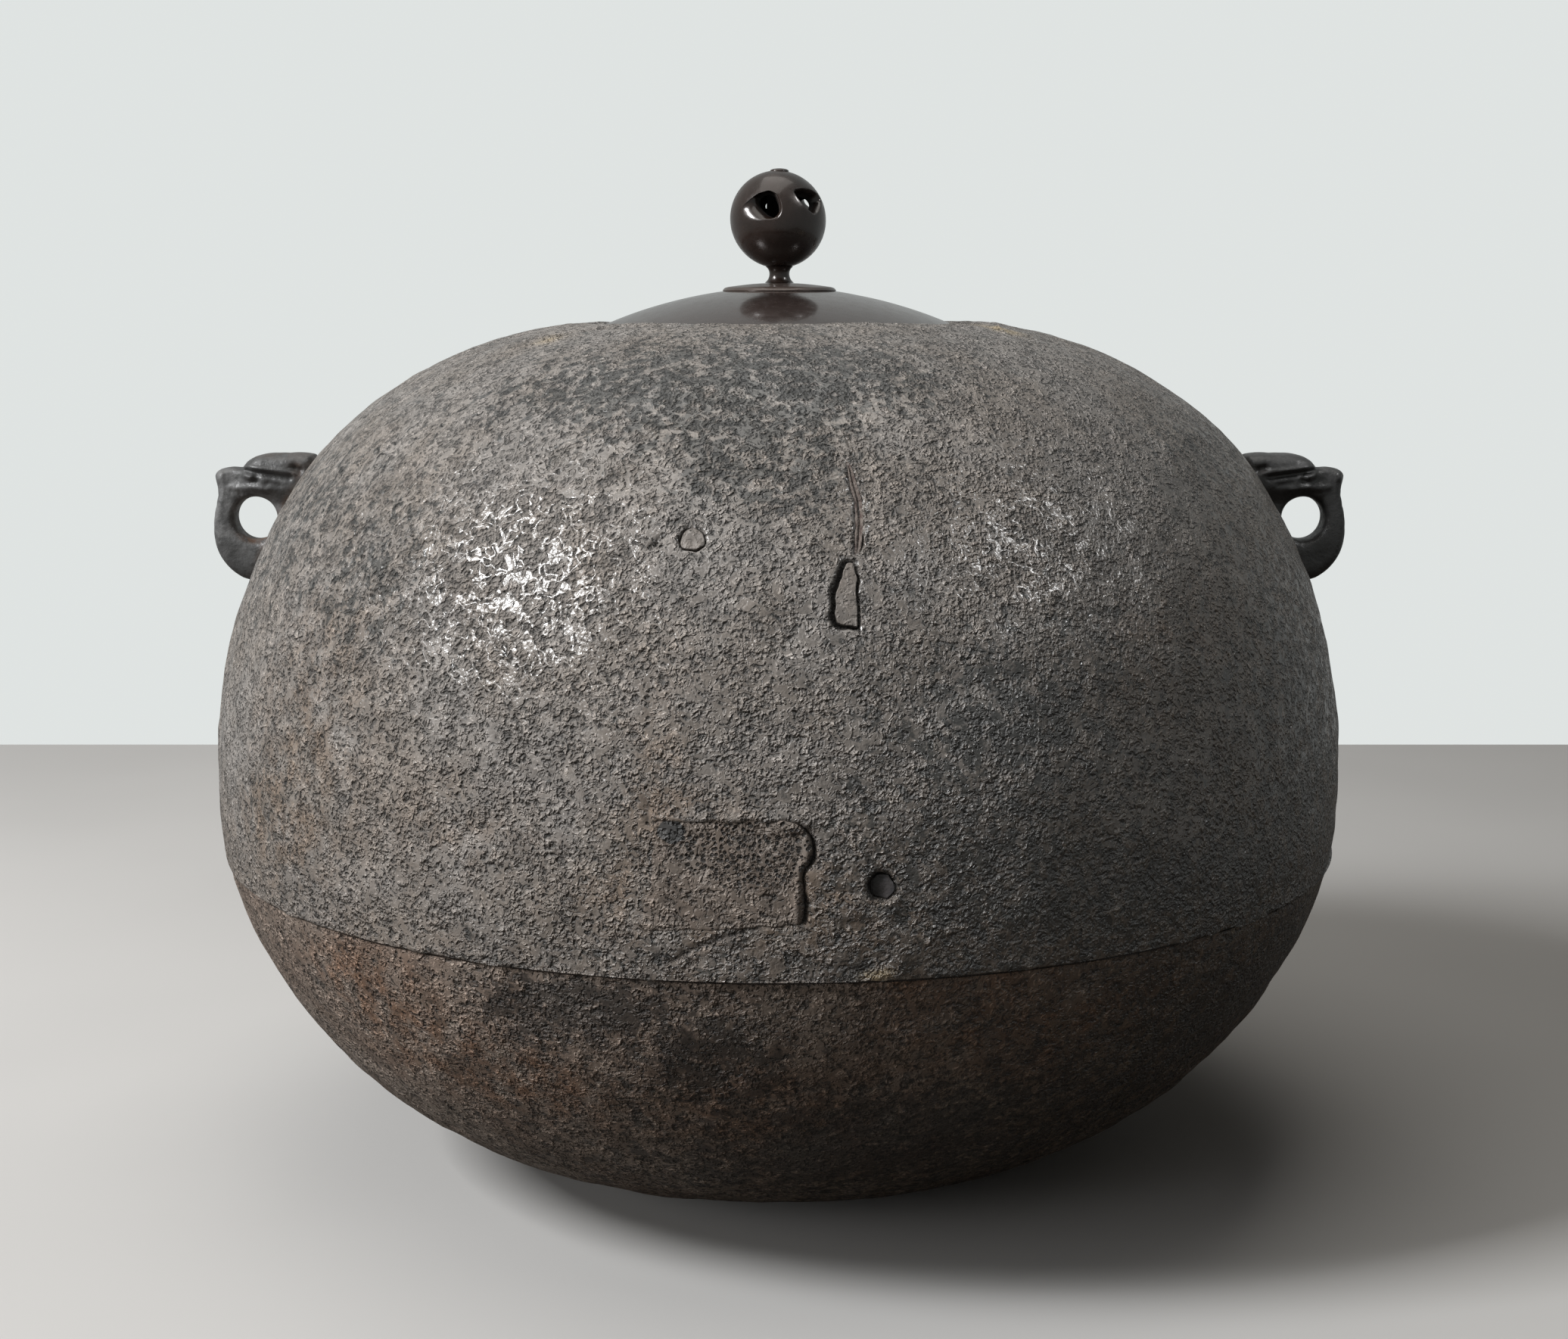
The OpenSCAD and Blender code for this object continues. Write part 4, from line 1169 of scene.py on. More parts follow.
@dataclass
class RingLug:
    """Ring lug in the form of a traditional beast's head: crown, brow, eye, snout and lip over a holed jaw.

    Attributes:
        side: Which lug.
        hole_x: Distance of the ring hole from the axis.
        hole_z: Height of the ring hole.
        hole_r: Radius of the ring hole.
        sink: How deep the root is let into the wall.
        outline: Outer edge round the hole's middle, as angles in degrees and distances.
        jaw_half: Half thickness of the jaw, as angles and sizes.
        head_half: Half thickness of the head, as distances from the axis and sizes.
        relief: Ridges and hollows on the flanks: points (distance from the axis, height), width and rise.
    """

    side: Side
    hole_x: float = 119.43
    hole_z: float = 144.4
    hole_r: float = 4.85
    sink: float = 1.5
    outline: tuple = ((-180, 12.6), (-150, 12.8), (-120, 13.5), (-105, 14.4), (-90, 14.5), (-76, 14.15),
                      (-65, 13.45), (-55, 12.75), (-42, 11.85), (-27, 10.75), (-12, 9.9), (3, 9.5), (18.6, 9.4),
                      (32, 10.0), (38, 10.9), (41, 11.6), (44.4, 12.7), (46.5, 13.4), (49.4, 13.65), (52.5, 13.65),
                      (55.5, 13.55), (64.9, 12.75), (71, 12.1), (75, 11.85), (78.4, 12.0), (81, 12.5), (83.9, 13.1),
                      (91.6, 14.05), (101.2, 14.88), (109, 15.5), (116.9, 16.4), (133, 19.6), (150, 17.0),
                      (165, 14.0), (180, 12.6))
    jaw_half: tuple = ((-180, 4.5), (-90, 4.5), (-45, 4.3), (0, 3.9), (30, 3.7), (60, 3.9), (100, 4.6), (180, 4.5))
    head_half: tuple = ((100, 6.5), (113, 6.4), (117, 6.2), (119.5, 5.6), (121.2, 4.6), (122.6, 3.9), (124.6, 3.5),
                        (126.3, 3.6), (127.6, 3.2), (129, 2.2))
    relief: tuple = (
        (((121.4, 156.4), (118.5, 156.1), (115.8, 155.8), (112.0, 155.3), (109.5, 155.0)), 0.60, 0.60),
        (((120.6, 155.3), (117.5, 154.9), (114.8, 154.5), (110.7, 154.0)), 0.75, -0.85),
        (((119.6, 154.1), (120.8, 154.4)), 0.80, 0.95),
        (((118.2, 153.2), (119.4, 152.9)), 0.65, -0.50),
        (((123.8, 154.2), (123.2, 153.4)), 1.20, -0.30),
        (((127.0, 154.6), (127.2, 153.8)), 0.90, 0.50),
        (((124.6, 151.6), (123.0, 151.4), (119.9, 151.6), (115.8, 151.1)), 0.80, 0.40),
        (((122.4, 150.2), (119.0, 150.5), (116.0, 150.1)), 0.75, -0.20),
        (((115.5, 152.6), (113.0, 152.2)), 0.80, -0.40),
        (((109.6, 156.0), (108.4, 155.6)), 0.90, -1.10))

    def surface(self) -> Array:
        """Ring of squarish sections round the hole, dented on its flanks.

        At each angle about the hole the section is a superellipse between the hole's radius and the outer edge. Its
        half thickness turns from the jaw's to the head's with height. Each ridge or hollow adds a bell curve of the
        distance from its path.

        Returns:
            Grid of points, (angles, points round the section, 3).
        """
        angle = spaced(-180.0, 180.0, 301, [(38.0, 142.0, 2.6), (-125.0, 38.0, 1.3)])[:-1]
        knots = np.array(self.outline, float)
        wide = np.linspace(-180.0, 180.0, 721)[:-1]
        edge = np.interp(wide, knots[:, 0], knots[:, 1])
        kernel = np.array([1.0, 2.0, 3.0, 2.0, 1.0]) / 9.0
        edge = np.convolve(np.pad(edge, 2, mode="wrap"), kernel, "valid")
        outer = np.interp(angle, wide, edge, period=360.0)[:, None]
        a = np.linspace(0.0, 2.0 * math.pi, 4000, endpoint=False)
        unit = even_outline(np.stack([signed_power(np.cos(a), 0.56), signed_power(np.sin(a), 0.56)], -1), 132)
        rho = 0.5 * (outer + self.hole_r) + 0.5 * (outer - self.hole_r) * unit[None, :, 0]
        turn = np.radians(angle)[:, None]
        x, z = self.hole_x + rho * np.cos(turn), self.hole_z + rho * np.sin(turn)
        jaw, head = np.array(self.jaw_half, float), np.array(self.head_half, float)
        jaw_t = np.interp(angle, jaw[:, 0], jaw[:, 1])[:, None]
        head_t = np.interp(x, head[:, 0], head[:, 1])
        half = jaw_t + (head_t - jaw_t) * smooth(147.6, 152.0, z)
        for path, width, rise in self.relief:
            away = path_distance(x, z, np.array(path))
            half = half + rise * bell(away, width)
        y = np.maximum(half, 0.8) * unit[None, :, 1]
        grid = np.stack([x, y, z], -1)
        grid[..., 1] += 0.12 * Lumps(4.0, 1.0, 21).at(grid) * np.abs(unit[None, :, 1])
        least = FORM.surface_r(z) - self.sink
        push = np.maximum(1.0, least / np.hypot(x, y))
        return grid * np.stack([push, push, np.ones_like(push)], -1) * np.array([self.side.value, 1.0, 1.0])

    def build(self) -> None:
        """Makes the lug, with rust at its root, in its dimple and in the hole.

        Painted shade, in the soot-and-shade mark, lies low on the jaw, under the brow and on the crown, and over the
        whole right lug, which faces away from the lamps.
        """
        grid = self.surface()
        x, z = np.abs(grid[..., 0]), grid[..., 2]
        proud = np.hypot(grid[..., 0], grid[..., 1]) - FORM.surface_r(z)
        low_hole = smooth(6.2, 5.0, np.hypot(x - self.hole_x, z - self.hole_z)) * smooth(142.0, 139.5, z)
        dimple, root = bell(np.hypot(x - 109.0, z - 155.8), 1.5), smooth(2.5, 0.3, proud)
        rust = np.clip(0.9 * low_hole + 0.9 * dimple + 0.5 * root + 0.35 * smooth(157.8, 159.0, z), 0.0, 1.0)
        # Painted shade, not soot: under the brow, low on the jaw, on the crown and over the whole right lug.
        under_brow = smooth(124.5, 121.5, x) * smooth(149.5, 151.5, z) * smooth(157.2, 155.2, z)
        jaw, crown = smooth(143.0, 132.0, z), smooth(154.8, 156.2, z)
        soot = 0.75 * jaw + 0.60 * under_brow + 0.48 * crown
        soot = np.maximum(soot, 0.9 if self.side is Side.RIGHT else 0.0)
        skin = Skin().sheet(grid, ring=True, loop=True, rust=rust, soot=soot, groove=NO_MARK)
        piece = skin.to_object(f"{self.side.name.lower()}_ring_lug")
        place_piece(piece, "kettle", [f"{self.side.name.lower()}_lug"], LUG_IRON)


@dataclass
class Repairs:
    """Iron repairs, crack filling and casting pins let into the front of the wall.

    Attributes:
        thickness: Thickness of the inlaid pieces.
    """

    thickness: float = 1.6

    def island(self, outline: Array, rings: int, height: Field, rim: float, welded: tuple[Array, ...] = (),
               holes: Field | None = None) -> Skin:
        """Inlaid piece inside an outline.

        A point on the upper face lies at a share k of the way from the middle to the outline, at the given height
        above the wall's surface, less a quarter-round drop near the rim. A wall and a lower face close it.

        Args:
            outline: Flat outline, (n, 2).
            rings: Rings from the middle to the rim.
            height: Height at flat points.
            rim: Width of the rounded rim.
            welded: Flat paths of the edges that lie close against the wall, if any.
            holes: How densely pinholes lie at flat points, if they do.

        Returns:
            The closed skin.
        """
        if edge_distance(np.zeros(1), np.zeros(1), outline - outline.mean(0))[0] > 0:
            raise ValueError("the middle lies outside the outline")
        outline = 2.0 * outline - CastBody.ragged(outline)
        area = np.sum(outline[:, 0] * np.roll(outline[:, 1], -1) - np.roll(outline[:, 0], -1) * outline[:, 1])
        outline = outline if area > 0 else outline[::-1]
        middle = outline.mean(0)
        k = np.concatenate([np.linspace(0.02, 0.9, rings), np.linspace(0.92, 1.0, 8)])[:, None, None]
        flat = middle + k * (outline - middle)[None]
        inward = np.maximum(-edge_distance(flat[..., 0], flat[..., 1], outline), 0.0)
        drop = rim * (1.0 - np.sqrt(np.clip(1.0 - np.clip(1.0 - inward / rim, 0.0, 1.0) ** 2, 0.0, 1.0)))
        free = np.ones(inward.shape)
        if welded:
            free = smooth(0.8, 2.5, np.minimum(*(self.away(flat, path) for path in welded)))
        top = height(flat) - drop * (0.35 + 0.65 * free)
        low = np.full((1, len(outline)), -self.thickness)
        levels = np.vstack([top, low])
        flat = np.concatenate([flat, flat[-1:]])
        grid = FORM.on_surface(flat, levels)
        # Free rims and faces sunk deep in their pocket are marked to go dark: painted shade.
        deep = np.maximum(0.8 * free * smooth(rim * 0.9, 0.0, inward), 0.95 * smooth(-0.75, -1.35, top))
        groove = np.vstack([deep, np.ones((1, len(outline)))])
        holed = np.vstack([holes(flat[:-1]), np.zeros((1, len(outline)))]) if holes else NO_MARK
        u, v = flat[..., 0], flat[..., 1]
        bare = sum(3.0 * smooth(1.0, 0.6, np.hypot((u - a) / 3.0, (v - b) / 2.7)) for a, b in MARKS.bare_spots())
        return Skin().sheet(grid[::-1], ring=True, tips=(True, True), rust=np.full((1, 1), 0.3), soot=bare[::-1],
                            groove=groove[::-1], holes=holed[::-1])

    @staticmethod
    def away(flat: Array, path: Array) -> Array:
        """Distance of flat points to a flat path."""
        return path_distance(flat[..., 0], flat[..., 1], path)

    @staticmethod
    def skin_height(flat: Array) -> Array:
        """Height of the body's own rough skin at flat points."""
        return np.minimum(rough_skin(FORM.on_surface(flat)), CastBody.most)

    def panel(self) -> None:
        """Square repair: lower than the wall at its top and right edge, level with it at its left and lower edge."""
        outline = even_outline(rounded(CastBody.flat(MARKS.panel), 1.0), 240)
        weld, top = CastBody.flat(MARKS.panel_weld), CastBody.flat(MARKS.panel_top)
        middle, right = FORM.chart(-2.5, 98.0), CastBody.flat(MARKS.panel[1:9])

        def height(flat: Array) -> Array:
            """Wall's own skin near the weld, and a calmer, lower one away from it."""
            free = smooth(1.0, 7.0, self.away(flat, weld)) * smooth(0.5, 3.5, self.away(flat, top))
            ridge = bell(self.away(flat, right) - 1.1, 0.7)
            return self.skin_height(flat) * (1.0 - 0.45 * free) + 0.1 - 0.35 * free + 0.4 * ridge

        def holes(flat: Array) -> Array:
            """Dense in the upper half."""
            return np.clip(1.5 * bell(flat[..., 0] - middle[0], 11.0) * bell(flat[..., 1] - middle[1], 6.5), 0.0, 1.0)

        skin = self.island(outline, 60, height, 0.45, (weld, top), holes)
        place_piece(skin.to_object("panel_repair"), "kettle", ["panel_patch"], PANEL_IRON)

    def wedge(self) -> None:
        """Wedge repair with a flat face, standing in an open groove."""
        outline = even_outline(rounded(CastBody.flat(MARKS.wedge), 0.3), 140)

        def height(flat: Array) -> Array:
            """Nearly level, with faint dents."""
            return 0.5 * self.skin_height(flat) - 0.15

        skin = self.island(outline, 24, height, 0.2)
        place_piece(skin.to_object("wedge_repair"), "kettle", ["wedge_patch"], PLUG_IRON)

    def crack(self) -> None:
        """Filling of the crack: a ribbon between the crack's two edges.

        Across the ribbon the height falls into a trough on the left and rises to a ridge on the right.
        """
        rows = 90
        t = np.linspace(0.0, len(MARKS.crack_left) - 1.0, rows)
        knots = np.arange(len(MARKS.crack_left))
        left, right = (np.stack([np.interp(t, knots, edge[:, k]) for k in range(2)], -1)
                       for edge in (CastBody.flat(MARKS.crack_left), CastBody.flat(MARKS.crack_right)))
        share = np.linspace(0.0, 1.0, 15)[None, :, None]
        flat = (left[:, None] + share * (right - left)[:, None])[::-1]
        s = share[..., 0]
        place = FORM.on_surface(flat)
        lines = bell(s - 0.05, 0.13) + 0.4 * bell(s - 0.62, 0.09)
        top = self.skin_height(flat) - 0.15 - 0.8 * lines + 0.3 * bell(s - 0.95, 0.22)
        top += 0.18 * Lumps(1.8, 1.0, 41).at(place)
        run = np.linspace(0.0, 1.0, rows)[:, None]
        ends = smooth(0.0, 0.06, run) * smooth(1.0, 0.94, run)
        top = top * ends - 1.0 * (1.0 - ends)
        upper, lower = FORM.on_surface(flat, top), FORM.on_surface(flat, -self.thickness)
        loop = np.concatenate([upper, lower[:, ::-1]], axis=1)
        # The carved lines are marked to go dark as well: painted shade in their troughs.
        groove = np.concatenate([np.broadcast_to(np.minimum(lines, 0.95), top.shape), np.ones(top.shape)], axis=1)
        skin = Skin().sheet(loop, ring=True, tips=(True, True), groove=groove)
        place_piece(skin.to_object("crack_filling"), "kettle", ["crack_filler"], CRACK_LACQUER)

    def casting_pin(self, name: str, node: str, mark: tuple, slim: float, sink: float, lean: float, aside: float,
                    finish: CastIron | SmoothIron, slot: str) -> None:
        """Head of an iron pin that held the core in the mould.

        Args:
            name: Name of the piece.
            node: CAD node that it stands for.
            mark: Azimuth, height and radius of its hole.
            slim: How much smaller than the hole it is.
            sink: Depth of its face below the surface.
            lean: How much the face falls to the left.
            aside: How far it stands right of its hole's middle.
            finish: Its finish.
            slot: Material slot; not used.
        """
        middle = FORM.chart(mark[0], mark[1]) + np.array([aside, 0.1 * aside])
        angle = np.linspace(0.0, 2.0 * math.pi, 72, endpoint=False)
        wobble = 1.0 + 0.05 * np.cos(3.0 * angle + 0.6) + 0.03 * np.cos(5.0 * angle)
        outline = middle + (mark[2] - slim) * np.stack([wobble * np.cos(angle), wobble * np.sin(angle)], -1)

        def height(flat: Array) -> Array:
            """Sunk and leaning face with faint dents."""
            place = FORM.on_surface(flat)
            slope = -sink + lean * (flat[..., 0] - middle[0]) / mark[2] + 0.12 * Lumps(2.2, 1.0, 51).at(place)
            return np.minimum(slope, -0.15)

        skin = self.island(outline, 16, height, 0.25)
        place_piece(skin.to_object(name), "kettle", [node], finish)

    def build(self) -> None:
        """Makes all the inlaid pieces."""
        self.panel()
        self.wedge()
        self.crack()
        self.casting_pin("core_plug", "casting_plug", MARKS.plug, slim=0.16, sink=0.3, lean=0.12, aside=0.08,
                         finish=PLUG_IRON, slot="body_iron")
        self.casting_pin("core_pin", "casting_pin", MARKS.pin, slim=0.3, sink=0.85, lean=0.95, aside=0.4,
                         finish=PIN_IRON, slot="repair_iron")


@dataclass
class Lid:
    """Bronze lid with its rim, skirt and the disc that carries the knob.

    Attributes:
        lid_r: Radius of the rim.
        dome_r: Radius of the domed surface.
        thickness: Thickness of the sheet.
        edge_t: Thickness of the rim's edge.
        skirt_r: Outer radius of the locating skirt.
        skirt_t: Thickness of the skirt.
        skirt_h: Height of the skirt below the rim.
        hole_r: Radius of the hole for the knob's tang.
        disc_r: Radius of the disc.
        disc_h: Height of the disc above the crown.
    """

    lid_r: float = 44.5
    dome_r: float = 98.0
    thickness: float = 2.2
    edge_t: float = 2.5
    skirt_r: float = 39.4
    skirt_t: float = 2.2
    skirt_h: float = 4.5
    hole_r: float = 1.55
    disc_r: float = 12.8
    disc_h: float = 1.0

    @property
    def centre_z(self) -> float:
        """Height of the dome's centre."""
        return FORM.seat_z + self.edge_t - math.sqrt(self.dome_r ** 2 - self.lid_r ** 2)

    @property
    def crown_z(self) -> float:
        """Height of the dome's crown."""
        return self.centre_z + self.dome_r

    def dome_z(self, r: Array, sunk: float = 0.0) -> Array:
        """Height of the domed surface at radius r: a circle about the dome's centre."""
        return self.centre_z + np.sqrt((self.dome_r - sunk) ** 2 - r ** 2)

    def build(self) -> None:
        """Turns the lid and its disc round the axis."""
        rows, roll, seat = 46, 0.5, FORM.seat_z
        skirt_in, skirt_z = self.skirt_r - self.skirt_t, seat - self.skirt_h
        out = np.linspace(self.hole_r, self.lid_r - roll, rows)
        a = np.linspace(0.0, math.pi / 2, 6)
        edge_z = float(self.dome_z(np.array(self.lid_r - roll)))
        edge = np.stack([self.lid_r - roll + roll * np.sin(a), edge_z - roll * (1 - np.cos(a))], -1)
        rest = np.array([[self.lid_r, seat + 0.3], [self.lid_r - 0.3, seat + 0.02], [self.skirt_r, seat + 0.02],
                         [self.skirt_r, seat - 2.0], [self.skirt_r - 0.2, skirt_z], [skirt_in + 0.2, skirt_z],
                         [skirt_in, skirt_z + 0.3]])
        under = np.linspace(skirt_in, self.hole_r, 30)
        section = np.vstack([np.stack([out, self.dome_z(out)], -1), edge[1:], rest,
                             np.stack([under, self.dome_z(under, self.thickness)], -1)])
        grid = lathe(section, 200)
        uneven = smooth(13.0, 18.0, section[:, 0]) * smooth(44.4, 42.0, section[:, 0])
        weight = np.where(np.arange(len(section)) < rows, uneven, 0.0)
        waves = (Lumps(30.0, 0.10, 61).at(grid) + Lumps(9.0, 0.03, 62).at(grid) - 0.06) * weight[:, None]
        grid[..., 2] += waves
        skin = Skin().sheet(grid, ring=True, loop=True, flip=True)
        place_piece(skin.to_object("lid", sharp=50.0), "lid", ["lid_dome"], LID_BRONZE)
        self.disc()

    def disc(self) -> None:
        """Low disc under the knob: it follows the dome and thins out to a rounded rim."""
        top_r = np.linspace(self.disc_r, self.hole_r, 30)
        near = np.clip((top_r - self.disc_r + 1.3) / 1.3, 0.0, 1.0)
        lift = self.disc_h * (0.25 + 0.75 * np.sqrt(1.0 - near ** 2)) * (0.8 + 0.2 * smooth(self.disc_r, 4.0, top_r))
        face = np.stack([top_r, self.dome_z(top_r) + lift], -1)
        under_r = np.linspace(self.hole_r, self.disc_r - 0.1, 16)
        under = np.stack([under_r, self.dome_z(under_r) + 0.01], -1)
        section = np.vstack([face, under])
        skin = Skin().sheet(lathe(section, 120), ring=True, loop=True)
        place_piece(skin.to_object("knob_disc", sharp=50.0), "lid", ["knob_seat"], SEAT_BRONZE)


@dataclass
class Knob:
    """Pierced bronze ball on a waisted stem, closed by a small nub.

    Attributes:
        lid: Lid that it stands on.
        ball_r: Radius of the ball.
        wall: Thickness of the ball.
        borders: Azimuths of the bars between the openings.
        eye: Lip of the first opening, as azimuths and latitudes.
        eye_hole: Inner edge of the first opening.
        leaf: Lip of the second opening.
        others: Azimuth and half width of each further opening.
        neck_h: Height of the neck.
        lower: Latitude of the band below the openings.
        upper: Latitude of the band above the openings.
        lean: How far the ball stands aside of the stem.
        foot_lat: Latitude at which the ball ends below.
        top_lat: Latitude at which it ends above.
        side: Points on each side of a panel of the ball.
    """

    lid: Lid
    ball_r: float = 10.75
    wall: float = 2.8
    borders: tuple = (-72.0, 13.9, 86.0, 152.0, 217.0, 288.0)
    eye: tuple = ((-51.3, 1.9), (-40.5, -1.8), (-27.3, -3.1), (-15.4, -2.4), (-3.3, -4.9), (4.0, 0.0), (6.5, 8.3),
                  (4.9, 19.9),
                  (-0.7, 29.7), (-12.2, 34.6), (-27.7, 30.1), (-37.6, 22.8), (-47.7, 14.9), (-55.9, 7.4))
    eye_hole: tuple = ((-27.0, 15.0), (-20.9, 9.2), (-12.9, 3.0), (-4.4, 0.0), (2.4, 9.2), (1.4, 21.8), (-5.1, 36.0),
                       (-17.0, 41.0), (-28.5, 37.0), (-34.0, 30.0), (-31.0, 20.0))
    leaf: tuple = ((31.5, 15.9), (39.6, 8.3), (49.5, 2.4), (57.4, 4.6), (68.7, 14.0), (80.0, 21.8), (77.0, 31.2),
                   (56.4, 37.3),
                   (35.6, 38.5), (21.3, 35.7), (24.6, 25.9))
    others: tuple = ((119.0, 26.0), (184.0, 25.0), (250.0, 22.0))
    neck_h: float = 3.3
    lower: float = -16.0
    upper: float = 56.0
    lean: float = 0.5
    foot_lat: float = -84.0
    top_lat: float = 80.0
    side: int = 18

    @property
    def ball_z(self) -> float:
        """Height of the ball's middle."""
        return self.lid.crown_z + self.lid.disc_h + self.neck_h + self.ball_r

    def on_ball(self, azimuth: Array, latitude: Array | float, r: Array | float) -> Array:
        """Point on a sphere about the ball's middle, from azimuth and latitude in degrees."""
        a, b = np.radians(azimuth), np.radians(latitude)
        a, b, r = np.broadcast_arrays(a, b, r)
        return np.stack([r * np.cos(b) * np.sin(a) - self.lean * (0.6 + 0.4 * np.sin(b)), -r * np.cos(b) * np.cos(a),
                         self.ball_z + r * np.sin(b)], -1)

    def opening(self, number: int, count: int) -> tuple[Array, Array]:
        """Lip and inner edge of an opening, each as points at equal steps from its lower left.

        Args:
            number: Which opening.
            count: Points on each outline.

        Returns:
            Azimuths and latitudes of the lip and of the inner edge, (count, 2) each.
        """
        if number == 0:
            lip, hole = np.array(self.eye), np.array(self.eye_hole)
        elif number == 1:
            lip = np.array(self.leaf)
            hole = lip.mean(0) + 0.8 * (lip - lip.mean(0)) + np.array([0.0, 2.0])
        else:
            middle, half = self.others[number - 2]
            stretch = np.array([half / 30.0, 1.0])
            lip = np.array([middle, 0.0]) + (np.array(self.leaf) - np.array([51.0, 0.0])) * stretch
            hole = lip.mean(0) + 0.8 * (lip - lip.mean(0))
        return tuple(even_outline(rounded(edge, 4.0), count) for edge in (lip, hole))

    def window(self, number: int) -> Array:
        """Panel of the ball round one opening, outside and inside.

        Points run round the panel's border and, in step, round the opening's lip and its inner edge. A share k
        between border and lip gives the face. From lip to inner edge the radius falls like a quarter ellipse, and
        the way back to the border gives the inner face.

        Args:
            number: Which opening.

        Returns:
            Grid of points, (rows, 4 * side, 3).
        """
        count = self.side
        left, right = self.borders[number:number + 2]
        t = np.linspace(0.0, 1.0, count, endpoint=False)
        across = left + (right - left) * np.concatenate([t, np.ones(count), 1.0 - t, np.zeros(count)])
        level = self.lower + (self.upper - self.lower) * np.concatenate([np.zeros(count), t, np.ones(count), 1.0 - t])
        border = np.stack([across, level], -1)
        lip, hole = self.opening(number, 4 * count)
        face = border + np.linspace(0.0, 1.0, 10)[:, None, None] * (lip - border)
        outer = self.on_ball(face[..., 0], face[..., 1], self.ball_r)
        share = np.sin(np.linspace(0.0, math.pi / 2, 14))[1:, None, None]
        throat = lip + share * (hole - lip)
        fall = self.wall * (1.0 - np.sqrt(1.0 - share[..., 0] ** 2))
        rolled = self.on_ball(throat[..., 0], throat[..., 1], self.ball_r - fall)
        back = hole + np.linspace(0.15, 1.0, 7)[:, None, None] * (border - hole)
        inner = self.on_ball(back[..., 0], back[..., 1], self.ball_r - self.wall)
        return np.concatenate([outer, rolled, inner])

    def ball(self) -> None:
        """Ball of pierced panels with a closed bowl below and a cap above, all welded; its throats, rims and inner
        faces are marked dark as painted shade.
        """
        skin = Skin()
        # Throats and inner faces are marked to go dark: painted shade inside the hollow ball.
        depth = np.concatenate([np.zeros(16), np.linspace(0.1, 1.0, 7), np.ones(7)])[:, None]
        for number in range(len(self.borders) - 1):
            skin.sheet(self.window(number), ring=True, groove=depth)
        t = np.linspace(0.0, 1.0, self.side, endpoint=False)
        azimuth = np.concatenate([a + (b - a) * t for a, b in zip(self.borders[:-1], self.borders[1:])])
        radii = (self.ball_r, self.ball_r - self.wall)
        for start, end in ((self.foot_lat, self.lower), (self.upper, self.top_lat)):
            lat = np.linspace(start, end, 12)[:, None]
            for r, inside in zip(radii, (False, True)):
                skin.sheet(self.on_ball(azimuth[None], lat, r), ring=True, flip=inside,
                           groove=np.full((1, 1), float(inside)))
        for lat, flip in ((self.foot_lat, True), (self.top_lat, False)):
            rims = np.stack([self.on_ball(azimuth, lat, r) for r in radii])
            skin.sheet(rims, ring=True, flip=flip, groove=np.ones((1, 1)))
        piece = skin.to_object("pierced_ball", weld=True, sharp=60.0)
        place_piece(piece, "knob", ["knob_ball"], KNOB_BRONZE)

    def stem(self) -> None:
        """Stem: peened tail, tang, waisted neck and collar, and a core inside the ball, turned round the axis.

        The neck's radius is the waist's plus two rounded flares, one to the foot and one to the collar. The core is
        a guess that the solids don't have. It is marked dark, a painted shade that keeps the ball's openings dark.
        """
        top = self.lid.crown_z + self.lid.disc_h
        t = np.linspace(0.0, 1.0, 24)
        neck_r = 2.15 + 1.15 * (1 - t) ** 4 + 0.95 * t ** 5
        neck = np.stack([neck_r, top + 0.02 + (self.neck_h + 0.35) * t], -1)
        tail = np.array([[0.6, 191.43], [1.9, 191.45], [2.5, 191.8], [2.7, 192.3], [2.6, 192.8], [1.5, 192.83],
                         [1.5, 194.0], [1.5, top], [2.9, top]])
        low, high = neck[-1, 1] + 1.0, self.ball_z + self.ball_r - 1.7
        core = np.array([[2.2, neck[-1, 1] + 0.1], [2.2, low], [3.0, low + 1.0], [3.0, 0.5 * (low + high)],
                         [2.6, high - 0.6], [1.0, high]])
        section = np.vstack([tail, neck, core])
        core_shade = np.concatenate([np.zeros(len(tail) + len(neck)), np.ones(len(core))])[:, None]
        skin = Skin().sheet(lathe(section, 48), ring=True, tips=(True, True), groove=core_shade)
        place_piece(skin.to_object("stem", sharp=50.0), "knob", ["knob_stem"], KNOB_BRONZE)

    def nub(self) -> None:
        """Nub on the ball's top: a low dome on a short foot, turned round the axis."""
        top = self.ball_z + self.ball_r
        a = np.linspace(0.0, 1.45, 10)
        dome = np.stack([2.1 * np.cos(a), top - 0.1 + 0.58 * np.sin(a)], -1)
        section = np.vstack([[[0.5, top - 1.45], [2.0, top - 1.45], [2.1, top - 0.9]], dome])
        skin = Skin().sheet(lathe(section, 48), ring=True, tips=(True, True))
        place_piece(skin.to_object("nub"), "knob", ["knob_nub"], KNOB_BRONZE)

    def build(self) -> None:
        """Makes ball, stem and nub."""
        self.ball()
        self.stem()
        self.nub()


